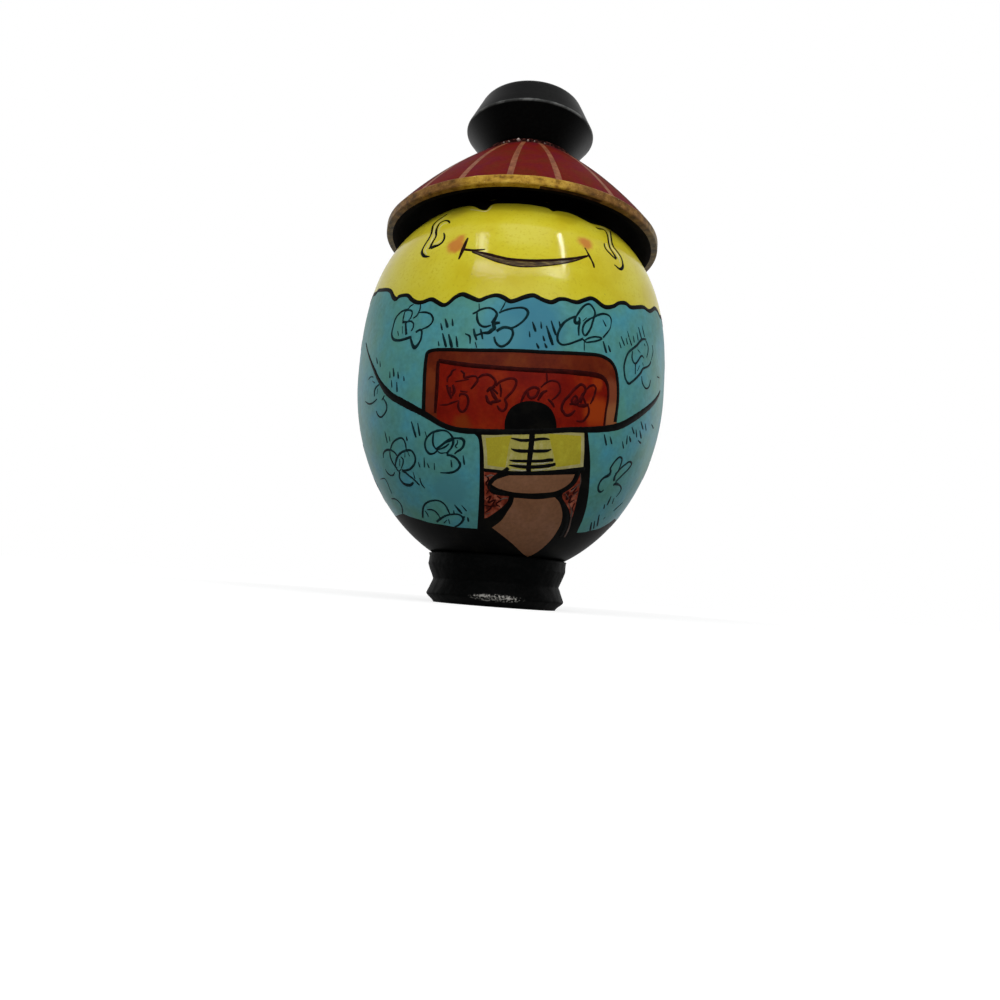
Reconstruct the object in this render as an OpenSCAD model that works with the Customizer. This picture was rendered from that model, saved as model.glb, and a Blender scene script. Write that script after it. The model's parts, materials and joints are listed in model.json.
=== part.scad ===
// A turned wooden egg figure with a hollow hat and a knob, standing on a turned foot.
// Sizes are in millimetres. The origin is the middle of the foot's underside, and Z is up.

/* [Egg] */
// Largest diameter of the egg
egg_d = 45; // [38:0.5:54]
// Height of the egg from its lower tip to its crown
egg_h = 53.7; // [48:0.1:66]
// Height of the widest place above the lower tip
belly_z = 27.6; // [24:0.1:34]
// Fullness of the egg above its widest place, where 2 is a plain ellipse
crown_fullness = 2.7; // [2:0.1:3]

/* [Foot] */
// Thickness of the foot under the egg's lower tip
foot_floor = 4.2; // [3.8:0.1:8]
// Diameter of the flat that the figure stands on
foot_base_d = 17.6; // [14:0.1:19]
// Diameter of the lower lip at its widest
foot_lip_d = 20.2; // [19.4:0.1:26]
// Height of the lower lip's widest place
foot_lip_z = 1.2; // [1:0.1:1.8]
// Diameter of the groove between the lip and the collar
foot_groove_d = 18.3; // [16:0.1:19]
// Height of the groove's deepest place
foot_groove_z = 3.3; // [2.8:0.1:3.6]
// Diameter of the collar that the egg sits in
foot_collar_d = 20; // [19.2:0.1:26]
// Height of the collar's straight band
foot_collar_h = 1.5; // [1:0.1:1.8]
// Width of the narrow land on top of the collar
foot_land = 0.2; // [0.1:0.05:0.4]
// Rounding of the foot's turned edges
foot_round = 0.35; // [0.1:0.05:0.5]

/* [Hat] */
// Diameter of the hat's rim
hat_d = 40.8; // [38:0.1:52]
// Height of the hat from the rim's lower edge to the flat that the knob sits on
hat_h = 14.1; // [11:0.1:20]
// Diameter of the flat top that the knob sits on
hat_top_d = 15; // [13.4:0.1:20]
// How far the side swells outside a straight cone, at its middle
hat_swell = 0.6; // [0.2:0.1:1.5]
// Height of the rim's outer face
rim_h = 1.1; // [0.6:0.1:2]
// Width of the flat under the rim
rim_w = 1.6; // [1:0.1:2.2]
// Depth of the hollow under the hat
hollow_depth = 3.3; // [2.4:0.1:4]
// Diameter of the hollow at its ceiling
hollow_top_d = 31.2; // [26:0.1:32]
// Depth of the seat that the egg's crown fills, above the hollow's ceiling
hat_seat = 0.9; // [0.5:0.1:1.5]
// Rounding of the rim's edges
rim_round = 0.25; // [0.1:0.05:0.4]

/* [Knob] */
// Diameter of the knob at its widest
knob_d = 19.6; // [17:0.1:26]
// Diameter of the knob's underside
knob_base_d = 12.6; // [9:0.1:13.2]
// Diameter of the knob's upper face, before its edge is rounded
knob_top_d = 14.8; // [11:0.1:16.4]
// Height of the knob
knob_h = 9.2; // [8:0.1:14]
// Height of the knob's widest place above its underside
knob_belt_z = 4.4; // [3:0.1:5]
// Rounding of the edge at the knob's widest place
knob_belt_round = 0.5; // [0.2:0.05:0.8]
// Rounding of the knob's upper edge
knob_top_round = 1.6; // [0.5:0.1:2]

/* [Dowels] */
// Diameter of the dowel between the foot and the egg
foot_dowel_d = 5; // [3:0.1:7]
// Depth of that dowel in the foot, below the egg's lower tip
foot_dowel_low = 2.6; // [1.5:0.1:2.8]
// Depth of that dowel in the egg, above the lower tip
foot_dowel_up = 10; // [6:0.1:14]
// Diameter of the dowel through the hat
hat_dowel_d = 4; // [3:0.1:6]
// Depth of that dowel in the egg, below the crown
hat_dowel_low = 9; // [6:0.1:14]
// Depth of that dowel in the knob, above its underside
hat_dowel_up = 5.5; // [3:0.1:6]
// Chamfer at the dowels' ends
dowel_chamfer = 0.4; // [0.1:0.1:0.8]

/* [Fits] */
// Glue line between two seated pieces
glue_gap = 0.05; // [0.02:0.01:0.1]
// Clearance round a dowel, on the radius
dowel_gap = 0.05; // [0.02:0.01:0.1]
// Empty depth beyond each end of a dowel
end_gap = 0.4; // [0.2:0.1:0.8]

/* [Hidden] */
$fn = 144;

// Overrun of a cutting shape past the face that it cuts
over = 1;
// Points on the lower half, the upper half, the hat's side and each rounded edge
low_steps = 32;
up_steps = 36;
side_steps = 16;
edge_steps = 5;

// Radii and heights that follow from the sizes above
egg_r = egg_d / 2;
tip_z = foot_floor;
waist_z = tip_z + belly_z;
crown_z = tip_z + egg_h;
crown_h = egg_h - belly_z;
collar_r = foot_collar_d / 2;
ceiling_z = crown_z - hat_seat;
rim_z = ceiling_z - hollow_depth;
rim_r = hat_d / 2;
hat_top_z = rim_z + hat_h;
knob_z = hat_top_z + glue_gap;

// Height above the lower tip at which the egg's lower half has the radius r
function rise(r) = belly_z * (1 - sqrt(1 - pow(r / egg_r, 2)));

collar_z = tip_z + rise(collar_r - foot_land);

// Outline of the egg from its lower tip to its crown, grown by g on all sides
function egg_outline(g) = concat(
    [for (i = [0 : low_steps])
        let (t = 90 * i / low_steps)
        [(egg_r + g) * sin(t), waist_z - (belly_z + g) * cos(t)]],
    [for (i = [1 : up_steps])
        let (t = 90 * i / up_steps, power = 2 / crown_fullness)
        [(egg_r + g) * pow(cos(t), power), waist_z + (crown_h + g) * pow(sin(t), power)]]
);

function unit(v) = v / norm(v);

// Points of an arc of radius r that rounds the corner b between the points a and c
function rounded(a, b, c, r) =
    let (
        u = unit(a - b),
        w = unit(c - b),
        half = acos(u * w) / 2,
        middle = b + unit(u + w) * r / sin(half),
        first = b + u * r / tan(half) - middle,
        last = b + w * r / tan(half) - middle,
        start = atan2(first.y, first.x),
        turn = (atan2(last.y, last.x) - start + 540) % 360 - 180
    )
    [for (i = [0 : edge_steps])
        let (t = start + turn * i / edge_steps)
        middle + r * [cos(t), sin(t)]];

// Points between a and b on a shallow curve that swells by s at its middle
function swelling(a, b, s) =
    let (along = b - a, out = unit([along.y, -along.x]))
    [for (i = [0 : side_steps])
        let (t = i / side_steps)
        a + t * along + 4 * s * t * (1 - t) * out];

module revolve(points) {
    rotate_extrude()
        polygon(points);
}

// A dowel's solid or, with gaps, the hole that it sits in
module dowel(d, bottom, top, bevel) {
    r = d / 2;
    revolve([
        [0, bottom],
        [r - bevel, bottom],
        [r, bottom + bevel],
        [r, top - bevel],
        [r - bevel, top],
        [0, top]
    ]);
}

module hole(d, bottom, top) {
    translate([0, 0, bottom])
        cylinder(d = d, h = top - bottom);
}

module foot_dowel_hole() {
    hole(
        foot_dowel_d + 2 * dowel_gap,
        tip_z - foot_dowel_low - end_gap,
        tip_z + foot_dowel_up + end_gap
    );
}

module hat_dowel_hole() {
    hole(
        hat_dowel_d + 2 * dowel_gap,
        crown_z - hat_dowel_low - end_gap,
        knob_z + hat_dowel_up + end_gap
    );
}

// The painted egg, one turned block with a dowel hole at each end
module egg_body() {
    color("#4f97a6")
        difference() {
            revolve(egg_outline(0));
            foot_dowel_hole();
            hat_dowel_hole();
        }
}

// The black foot, with a lip, a groove and a collar that is dished to the egg
module foot() {
    base = [foot_base_d / 2, 0];
    lip = [foot_lip_d / 2, foot_lip_z];
    groove = [foot_groove_d / 2, foot_groove_z];
    collar_low = [collar_r, collar_z - foot_collar_h];
    collar_top = [collar_r, collar_z];
    color("#161513")
        difference() {
            revolve(concat(
                [[0, 0], base],
                rounded(base, lip, groove, foot_round),
                rounded(lip, groove, collar_low, foot_round),
                rounded(groove, collar_low, collar_top, foot_round),
                [collar_top, [0, collar_z]]
            ));
            revolve(egg_outline(glue_gap));
            foot_dowel_hole();
        }
}

// The hat, a low cone with a square rim, hollow below and seated on the egg's crown
module hat() {
    flat_in = [rim_r - rim_w, rim_z];
    edge_low = [rim_r, rim_z];
    edge_up = [rim_r, rim_z + rim_h];
    side_top = [hat_top_d / 2, hat_top_z];
    side = swelling(edge_up, side_top, hat_swell);
    color("#651c22")
        difference() {
            revolve(concat(
                [[0, ceiling_z], [hollow_top_d / 2, ceiling_z], flat_in],
                rounded(flat_in, edge_low, edge_up, rim_round),
                rounded(edge_low, edge_up, side[1], rim_round),
                [for (i = [1 : side_steps]) side[i]],
                [[0, hat_top_z]]
            ));
            revolve(egg_outline(glue_gap));
            hat_dowel_hole();
        }
}

// The black knob, a double cone with a rounded belt and a rounded upper edge
module knob() {
    base = [knob_base_d / 2, knob_z];
    belt = [knob_d / 2, knob_z + knob_belt_z];
    top_out = [knob_top_d / 2, knob_z + knob_h];
    top_in = [0, knob_z + knob_h];
    color("#1d1d1c")
        difference() {
            revolve(concat(
                [[0, knob_z], base],
                rounded(base, belt, top_out, knob_belt_round),
                rounded(belt, top_out, top_in, knob_top_round),
                [top_in]
            ));
            hat_dowel_hole();
        }
}

// The hidden dowel that holds the egg on its foot
module foot_dowel() {
    color("#c9a877")
        dowel(foot_dowel_d, tip_z - foot_dowel_low, tip_z + foot_dowel_up, dowel_chamfer);
}

// The hidden dowel that runs from the egg through the hat into the knob
module hat_dowel() {
    color("#c9a877")
        dowel(hat_dowel_d, crown_z - hat_dowel_low, knob_z + hat_dowel_up, dowel_chamfer);
}

egg_body();
foot();
hat();
knob();
foot_dowel();
hat_dowel();
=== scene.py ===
"""A painted wooden egg figure: skins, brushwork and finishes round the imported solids."""
import json
import math
import random

import bpy
import numpy as np
from mathutils import Matrix, Vector, noise
from mathutils.geometry import delaunay_2d_cdt

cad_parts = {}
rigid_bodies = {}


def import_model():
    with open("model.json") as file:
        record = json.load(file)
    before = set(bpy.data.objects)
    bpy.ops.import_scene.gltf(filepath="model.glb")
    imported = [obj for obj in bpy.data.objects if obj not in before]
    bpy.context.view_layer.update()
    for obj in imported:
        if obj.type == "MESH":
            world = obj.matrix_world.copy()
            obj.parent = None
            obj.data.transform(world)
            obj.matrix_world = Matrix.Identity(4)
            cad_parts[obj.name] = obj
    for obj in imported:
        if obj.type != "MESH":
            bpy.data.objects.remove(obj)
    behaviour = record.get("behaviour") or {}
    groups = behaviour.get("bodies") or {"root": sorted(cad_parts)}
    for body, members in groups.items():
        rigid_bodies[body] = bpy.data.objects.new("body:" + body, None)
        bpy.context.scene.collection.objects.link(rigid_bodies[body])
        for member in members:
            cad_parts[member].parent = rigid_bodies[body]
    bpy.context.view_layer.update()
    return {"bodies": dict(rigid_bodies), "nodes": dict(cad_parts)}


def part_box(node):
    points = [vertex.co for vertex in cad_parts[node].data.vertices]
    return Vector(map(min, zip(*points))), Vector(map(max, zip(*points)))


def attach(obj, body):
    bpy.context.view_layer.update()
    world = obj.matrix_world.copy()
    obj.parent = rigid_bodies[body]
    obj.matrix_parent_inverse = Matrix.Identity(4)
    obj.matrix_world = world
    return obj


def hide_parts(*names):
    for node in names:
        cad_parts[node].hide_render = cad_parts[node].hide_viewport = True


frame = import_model()
ROOT = next(iter(frame["bodies"]))
MM = 0.001
random.seed(7)


def low(node):
    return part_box(node)[0][2] / MM


def high(node):
    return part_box(node)[1][2] / MM


def radius(node):
    return (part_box(node)[1][0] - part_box(node)[0][0]) / MM / 2


# Sizes in millimetres: those of the solids come from the frame, the rest as the part has them
EGG_R = radius("egg_body")
TIP_Z = low("egg_body")
WAIST_Z = 31.8
CROWN_Z = high("egg_body")
CROWN_FULLNESS = 2.7
HAT_R = radius("hat")
HAT_LOW_Z = low("hat")
HAT_TOP_Z = high("hat")
HAT_TOP_R = 7.5
HAT_SWELL = 0.6
# The low neck above the hat's slope, under the knob
NECK_R = 7.35
NECK_H = 0.7
RIM_H = 1.1
RIM_W = 1.6
RIM_ROUND = 0.2
HOLLOW_DEPTH = 3.3
HOLLOW_TOP_R = 15.6
KNOB_R = 9.8
KNOB_LOW_Z = low("knob")
KNOB_TOP_Z = high("knob")
KNOB_BASE_R = 6.3
KNOB_TOP_R = 7.4
KNOB_BELT_Z = KNOB_LOW_Z + 4.4
KNOB_BELT_ROUND = 0.22
KNOB_TOP_ROUND = 1.6
FOOT_TOP_Z = high("foot")
FOOT_BASE_R = 8.8
FOOT_LIP = (10.1, 1.2)
FOOT_GROOVE = (9.15, 3.3)
FOOT_COLLAR_R = 10.0
FOOT_COLLAR_H = 1.5
FOOT_ROUND = 0.3
GLUE_GAP = 0.05
# Radius of the small ring of points round a pole
POLE_R = 0.3

# How far the egg's skin lies inside the solid's surface, so that the ink stays within its size
SKIN_INSET = 0.06
INK_HEIGHT = 0.03
INK_DEPTH = 0.04
# Width of a line's flat top against its foot
RIBBON_TOP = 0.8

# The camera at the photograph's place, in millimetres, degrees and pixels
CAMERA_AT = (-0.31, -116.75, 1.86)
CAMERA_PITCH = 6.65
CAMERA_ROLL = 4.4
FOCAL_PX = 800.0
FRAME_PX = 1000.0
SENSOR_MM = 36.0
# The nearest and furthest that the camera shows, in metres
CLIP = (0.001, 10)
# What one pixel covers on the egg's front
PIXEL_MM = 0.14
# Where the camera's rays are searched for the object, in millimetres, and in how many steps
RAY_FROM = 70
RAY_TO = 150
RAY_STEPS = 1600

# Steps in pixels between the points of an outline, of the black's edge under the hat and of a stroke
OUTLINE_STEP = 2.0
BLACK_EDGE_STEP = 1.0
STROKE_STEP = 1.2
# Steps between two points that are read on a smooth line, and along a swelling side
CURVE_STEPS = 6
BOW_STEPS = 20
# How far each way along a side its slope is measured, in millimetres
SLOPE_REACH = 0.2
# Points of a line round the sides and back of the egg, and down the egg's side in a dish
BACK_POINTS = 300
DISH_POINTS = 60
# The waves of such a line: the power with which they set in beside the front, how often the hand
# changes in each wave, and how far it shifts and swells them
WAVE_ONSET = 0.3
HAND_CHANGES = 0.7
WAVE_SHIFT = 1.6
WAVE_SWELL = 0.7
# Points round the knob and the foot
KNOB_SEGMENTS = 192
FOOT_SEGMENTS = 224
# How far the knob is out of round, how far the foot's face lies in, the scale and height of its
# lumps, and how far it drifts up and down
KNOB_UNEVEN = 0.015
FOOT_INSET = 0.1
FOOT_LUMPS = [(0.45, 0.10), (1.6, 0.06)]
FOOT_DRIFT = 0.04
# Tolerances in millimetres
NEAR = 1e-4
TINY = 1e-12

# Roughness of all noise textures, and size of the fine blotches in mottled paint against the large
NOISE_ROUGHNESS = 0.55
FINE_BLOTCH = 0.14
SATIN = {"roughness": 0.45, "specular": 0.03, "coat": 0.03, "coat_roughness": 0.2}


# Camera

def camera_matrix():
    turn = Matrix.Rotation(math.radians(90 + CAMERA_PITCH), 4, "X")
    roll = Matrix.Rotation(math.radians(CAMERA_ROLL), 4, "Z")
    return Matrix.Translation(Vector(CAMERA_AT) * MM) @ turn @ roll


def make_camera():
    data = bpy.data.cameras.new("camera")
    data.sensor_width = SENSOR_MM
    data.lens = SENSOR_MM * FOCAL_PX / FRAME_PX
    data.clip_start, data.clip_end = CLIP
    camera = bpy.data.objects.new("camera", data)
    camera.matrix_world = camera_matrix()
    bpy.context.scene.collection.objects.link(camera)
    bpy.context.scene.camera = camera


def pixel_rays(pixels):
    """Unit directions of the camera's rays through pixels of the photograph."""
    px = np.asarray(pixels, float)
    half = FRAME_PX / 2
    local = np.stack([px[:, 0] - half, half - px[:, 1], np.full(len(px), -FOCAL_PX)], 1)
    ray = local @ np.array(camera_matrix().to_3x3()).T
    return ray / np.linalg.norm(ray, axis=1)[:, None]


# Surfaces turned about Z

class Turned:
    """A turned side: places on it by azimuth, which is 0 towards the camera, and length along it."""

    def __init__(self, r, z, inset=0.0):
        self.r = np.asarray(r, float)
        self.z = np.asarray(z, float)
        run = np.hypot(np.diff(self.r), np.diff(self.z))
        self.s = np.concatenate([[0], np.cumsum(run)])
        self.end = self.s[-1]
        self.inset = inset

    def radius_at(self, s):
        return np.interp(s, self.s, self.r)

    def height_at(self, s):
        return np.interp(s, self.s, self.z)

    def length_at(self, z):
        return np.interp(z, self.z, self.s)

    def place(self, az, s, lift=0.0):
        """Points in metres and outward normals."""
        dr = self.radius_at(s + SLOPE_REACH) - self.radius_at(s - SLOPE_REACH)
        dz = self.height_at(s + SLOPE_REACH) - self.height_at(s - SLOPE_REACH)
        size = np.hypot(dr, dz)
        nr, nz = dz / size, -dr / size
        r, z = self.radius_at(s), self.height_at(s)
        normal = np.stack([nr * np.sin(az), -nr * np.cos(az), nz], axis=-1)
        at = np.stack([r * np.sin(az), -r * np.cos(az), z], axis=-1)
        return (at + normal * (lift - self.inset)) * MM, normal

    def from_pixels(self, pixels):
        """Azimuth and length where the rays through these pixels meet the side.
        A ray that passes by gives the nearest point of the side."""
        ray = pixel_rays(pixels)
        t = np.linspace(RAY_FROM, RAY_TO, RAY_STEPS)
        at = np.array(CAMERA_AT) + t[None, :, None] * ray[:, None, :]
        side = np.interp(at[..., 2], self.z, self.r, left=0, right=0)
        inside = side - np.hypot(at[..., 0], at[..., 1])
        hit = (inside > 0).any(1)
        first = np.where(hit, (inside > 0).argmax(1), inside.argmax(1))
        rows = np.arange(len(ray))
        before = np.maximum(first - 1, 0)
        a, b = inside[rows, before], inside[rows, first]
        share = np.where(hit, a / np.where(a == b, 1, a - b), 1.0)
        spot = at[rows, before] * (1 - share)[:, None] + at[rows, first] * share[:, None]
        return np.arctan2(spot[:, 0], -spot[:, 1]), self.length_at(spot[:, 2])


def egg_side(grow=0.0, steps=400):
    """Radius and height along the egg, from its tip to its crown, grown on all sides."""
    t = np.linspace(0, math.pi / 2, steps)
    power = 2 / CROWN_FULLNESS
    r_low = (EGG_R + grow) * np.sin(t)
    z_low = WAIST_Z - (WAIST_Z - TIP_Z + grow) * np.cos(t)
    r_up = (EGG_R + grow) * np.maximum(np.cos(t), 0) ** power
    z_up = WAIST_Z + (CROWN_Z - WAIST_Z + grow) * np.sin(t) ** power
    return np.concatenate([r_low, r_up[1:]]), np.concatenate([z_low, z_up[1:]])


def dish_points():
    """Points down the egg's side, a glue line outside it: the hat's seat and the foot's dish."""
    r, z = egg_side(GLUE_GAP, DISH_POINTS)
    return list(zip(r[::-1], z[::-1]))


def bow(a, b, swell):
    """Points on a shallow curve from a to b that swells to the right of the way."""
    run = math.hypot(b[0] - a[0], b[1] - a[1])
    out = ((b[1] - a[1]) / run, -(b[0] - a[0]) / run)
    points = []
    for i in range(BOW_STEPS + 1):
        t = i / BOW_STEPS
        push = 4 * swell * t * (1 - t)
        points.append((a[0] + (b[0] - a[0]) * t + push * out[0], a[1] + (b[1] - a[1]) * t + push * out[1]))
    return points


def rounded(a, b, c, r, steps=5):
    """Points of an arc of radius r that rounds the corner b between a and c."""
    a, b, c = (np.asarray(p, float) for p in (a, b, c))
    u = (a - b) / np.linalg.norm(a - b)
    w = (c - b) / np.linalg.norm(c - b)
    half = math.acos(float(u @ w)) / 2
    middle = b + (u + w) / np.linalg.norm(u + w) * r / math.sin(half)
    first = b + u * r / math.tan(half) - middle
    last = b + w * r / math.tan(half) - middle
    start = math.atan2(first[1], first[0])
    turn = (math.atan2(last[1], last[0]) - start + math.pi) % (2 * math.pi) - math.pi
    return [(middle[0] + r * math.cos(start + turn * i / steps),
             middle[1] + r * math.sin(start + turn * i / steps)) for i in range(steps + 1)]


def between(a, b, steps):
    """Points from a to b without its first one."""
    return [(a[0] + (b[0] - a[0]) * i / steps, a[1] + (b[1] - a[1]) * i / steps)
            for i in range(1, steps + 1)]


EGG = Turned(*egg_side(), inset=SKIN_INSET)
HAT_EDGE = (HAT_R, HAT_LOW_Z + RIM_H)
SLOPE_TOP = (HAT_TOP_R, HAT_TOP_Z - NECK_H)
HAT_SIDE = Turned(*zip(*bow(HAT_EDGE, SLOPE_TOP, HAT_SWELL)))


# Lines

def smooth(points):
    """A curve through the points (Catmull-Rom); further columns, such as a width, follow."""
    p = np.asarray(points, float)
    if len(p) < 3:
        return p
    p = np.vstack([2 * p[0] - p[1], p, 2 * p[-1] - p[-2]])
    t = np.linspace(0, 1, CURVE_STEPS, endpoint=False)[:, None]
    out = []
    for a, b, c, d in zip(p[:-3], p[1:-2], p[2:-1], p[3:]):
        out.append(0.5 * (2 * b + (c - a) * t + (2 * a - 5 * b + 4 * c - d) * t ** 2
                          + (3 * b - a - 3 * c + d) * t ** 3))
    return np.vstack(out + [p[-2:-1]])


def resample(points, step):
    """Points at even steps along a line."""
    p = np.asarray(points, float)
    run = np.concatenate([[0], np.cumsum(np.linalg.norm(np.diff(p[:, :2], axis=0), axis=1))])
    count = max(2, int(round(run[-1] / step)) + 1)
    at = np.linspace(0, run[-1], count)
    return np.stack([np.interp(at, run, p[:, i]) for i in range(p.shape[1])], 1)


def outline(runs):
    """A closed outline on the egg, of smooth runs in pixels. Each ends in a sharp corner, at the
    start of the next."""
    closed = [resample(smooth(run + after[:1]), OUTLINE_STEP)[:-1]
              for run, after in zip(runs, runs[1:] + runs[:1])]
    return np.stack(EGG.from_pixels(np.vstack(closed)), 1)


def above(edge, rise):
    """A closed outline between an edge in pixels and the same edge further up the egg."""
    low_edge = np.stack(EGG.from_pixels(resample(smooth(edge), BLACK_EDGE_STEP)), 1)
    return np.concatenate([low_edge, low_edge[::-1] + (0, rise)])


def ring(front, waves, swing):
    """A line right round the egg: the front in pixels, the rest a gentle wave."""
    az, s = EGG.from_pixels(resample(smooth(front), OUTLINE_STEP))
    t = np.linspace(0, 1, BACK_POINTS)[1:-1]
    fade = np.sin(math.pi * t) ** WAVE_ONSET
    back_az = az[-1] + (2 * math.pi - (az[-1] - az[0])) * t
    uneven = np.array([noise.noise(Vector((waves * u * HAND_CHANGES, 0, 8))) for u in t])
    wave = np.sin(2 * math.pi * waves * t + WAVE_SHIFT * uneven) * (1 + WAVE_SWELL * uneven)
    back_s = s[-1] + (s[0] - s[-1]) * t + swing * wave * fade
    all_az = (np.concatenate([az, back_az]) + math.pi) % (2 * math.pi) - math.pi
    all_s = np.concatenate([s, back_s])
    order = np.argsort(all_az)
    all_az, all_s = all_az[order], all_s[order]
    seam = np.interp(math.pi, [all_az[-1], all_az[0] + 2 * math.pi], [all_s[-1], all_s[0]])
    return np.stack([np.concatenate([[-math.pi], all_az, [math.pi]]),
                     np.concatenate([[seam], all_s, [seam]])], 1)


# Meshes

def add_piece(name, verts, faces, materials, slot, indices=None, normals=None):
    mesh = bpy.data.meshes.new(name)
    mesh.from_pydata([tuple(v) for v in verts], [], faces)
    for material in materials:
        mesh.materials.append(material)
    if indices is not None:
        mesh.polygons.foreach_set("material_index", indices)
    mesh.polygons.foreach_set("use_smooth", [True] * len(mesh.polygons))
    mesh.update()
    if normals is not None:
        mesh.normals_split_custom_set_from_vertices([tuple(n) for n in normals])
    piece = bpy.data.objects.new(name, mesh)
    bpy.context.scene.collection.objects.link(piece)
    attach(piece, ROOT)
    return piece


def turned_mesh(rings):
    """Vertices in metres and faces of a closed turned piece. Each ring is a list of
    (radius, azimuth, height), and the first and last rings shrink to points on the axis."""
    count = len(rings[1])
    verts = [(0, 0, rings[0][0][2] * MM)]
    for points in rings[1:-1]:
        for r, a, z in points:
            verts.append((r * math.sin(a) * MM, -r * math.cos(a) * MM, z * MM))
    verts.append((0, 0, rings[-1][0][2] * MM))
    faces = [(0, 1 + (k + 1) % count, 1 + k) for k in range(count)]
    for i in range(len(rings) - 3):
        start = 1 + i * count
        for k in range(count):
            n = (k + 1) % count
            faces.append((start + k, start + n, start + count + n, start + count + k))
    start = len(verts) - 1 - count
    for k in range(count):
        faces.append((start + k, start + (k + 1) % count, len(verts) - 1))
    return verts, faces


def even_rings(profile, segments, wobble=None):
    """Rings of evenly spaced points along a profile, moved by wobble(r, a, z) if there is one."""
    rings = []
    for r, z in profile:
        points = [(r, 2 * math.pi * k / segments, z) for k in range(segments)]
        rings.append([wobble(*p) for p in points] if wobble else points)
    return rings


# Materials

WHITE = (1, 1, 1, 1)


def srgb(colour):
    """Linear values of a colour written in 8 bits."""
    return tuple(c / 3294.6 if c <= 10.3 else ((c / 255 + 0.055) / 1.055) ** 2.4 for c in colour)


class Tree:
    """A node tree. A node's inputs take values or the outputs of other nodes."""

    def __init__(self, tree):
        self.nodes = tree.nodes
        self.links = tree.links

    def set(self, node, values):
        for key, value in values.items():
            if isinstance(value, bpy.types.NodeSocket):
                self.links.new(value, node.inputs[key])
            else:
                node.inputs[key].default_value = value
        return node

    def add(self, kind, values=None, **settings):
        """A node of a kind, with its settings and then the values of its inputs."""
        node = self.nodes.new("ShaderNode" + kind)
        for key, value in settings.items():
            setattr(node, key, value)
        return self.set(node, values or {})

    def math(self, operation, a, b=0.0):
        return self.add("Math", {0: a, 1: b}, operation=operation).outputs[0]

    def vector(self, operation, a, b=None, scale=None):
        given = {key: value for key, value in ((0, a), (1, b), ("Scale", scale)) if value is not None}
        node = self.add("VectorMath", given, operation=operation)
        return node.outputs["Value" if operation in ("DISTANCE", "LENGTH") else "Vector"]


class Look(Tree):
    """A material, whose textures lie in millimetres on the object. Its colours are in 8 bits."""

    def __init__(self, name, roughness=0.5, specular=0.5, coat=0.0, coat_roughness=0.1, metallic=0.0):
        self.material = bpy.data.materials.new(name)
        self.material.use_nodes = True
        super().__init__(self.material.node_tree)
        self.shader = self.set(self.nodes["Principled BSDF"], {
            "Roughness": roughness, "Specular IOR Level": specular, "Metallic": metallic,
            "Coat Weight": coat, "Coat Roughness": coat_roughness})
        self.mm = self.vector("SCALE", self.add("TexCoord").outputs["Object"], scale=1 / MM)

    def noise(self, size, detail=3.0, stretch=(1, 1, 1), distortion=0.0):
        """Noise of about 0 to 1 whose blotches measure size millimetres, longer along an axis
        with a stretch under 1."""
        place = self.vector("MULTIPLY", self.mm, tuple(s / size for s in stretch))
        values = {"Vector": place, "Scale": 1.0, "Detail": detail, "Roughness": NOISE_ROUGHNESS,
                  "Distortion": distortion}
        return self.add("TexNoise", values).outputs["Fac"]

    def ramp(self, fac, stops):
        """Colours or shades over fac, from (position, colour) stops."""
        node = self.add("ValToRGB", {"Fac": fac})
        elements = node.color_ramp.elements
        while len(elements) < len(stops):
            elements.new(0.5)
        for element, (position, colour) in zip(elements, stops):
            element.position = position
            element.color = (*srgb(colour), 1) if isinstance(colour, tuple) else (colour, colour, colour, 1)
        return node.outputs["Color"]

    def step(self, fac, start, end):
        """0 below start and 1 above end."""
        values = {"Value": fac, "From Min": start, "From Max": end}
        return self.add("MapRange", values, interpolation_type="SMOOTHSTEP").outputs["Result"]

    def fade(self, fac, start, end):
        """1 below start and 0 above end."""
        return self.math("SUBTRACT", 1.0, self.step(fac, start, end))

    def height(self):
        """The height above the floor in millimetres."""
        return self.add("SeparateXYZ", {0: self.mm}).outputs["Z"]

    def turned_away(self, start, end):
        """0 where the surface faces the viewer, 1 where it turns away."""
        return self.step(self.add("LayerWeight", {"Blend": 0.5}).outputs["Facing"], start, end)

    def mix(self, fac, a, b, blend="MIX"):
        a, b = ((*srgb(c), 1) if isinstance(c, tuple) else c for c in (a, b))
        return self.add("Mix", {0: fac, 6: a, 7: b}, data_type="RGBA", blend_type=blend).outputs[2]

    def tinted(self, colour, share, strength, tint):
        """The colour with a tint over it, where share is 1 and at this strength."""
        return self.mix(self.math("MULTIPLY", share, strength), colour, tint)

    def bump(self, height, strength, distance=0.05, into="Normal"):
        values = {"Height": height, "Strength": strength, "Distance": distance * MM}
        self.set(self.shader, {into: self.add("Bump", values).outputs["Normal"]})

    def paint(self, colour):
        self.set(self.shader, {"Base Color": colour})
        return self.material


def lacquered(look):
    """The fine unevenness of brushed paint under lacquer."""
    strokes = look.noise(0.5, detail=2, stretch=(0.35, 0.35, 1.6))
    grit = look.math("MULTIPLY", look.noise(0.16, detail=2), 0.25)
    look.bump(look.math("ADD", strokes, grit), 0.22, 0.03)


def stained(look, colour, stains):
    """The colour with soft ragged stains, each a place, a size in millimetres and a colour."""
    if stains:
        ragged = look.math("MULTIPLY", look.noise(1.2), 1.1)
    for place, size, stain in stains:
        distance = look.math("ADD", look.vector("DISTANCE", look.mm, place), ragged)
        colour = look.tinted(colour, look.fade(distance, size * 0.55 + 0.4, size + 0.75), 0.9, stain)
    return colour


def sparkling(look, calm_place):
    """Fine bumps in the lacquer, which break a mirrored window into glints, but not at one place."""
    rough = look.step(look.vector("DISTANCE", look.mm, calm_place), *CALM_REACH)
    look.bump(look.math("MULTIPLY", look.noise(0.5, detail=2), rough), 0.6, 0.035, "Coat Normal")


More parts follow.
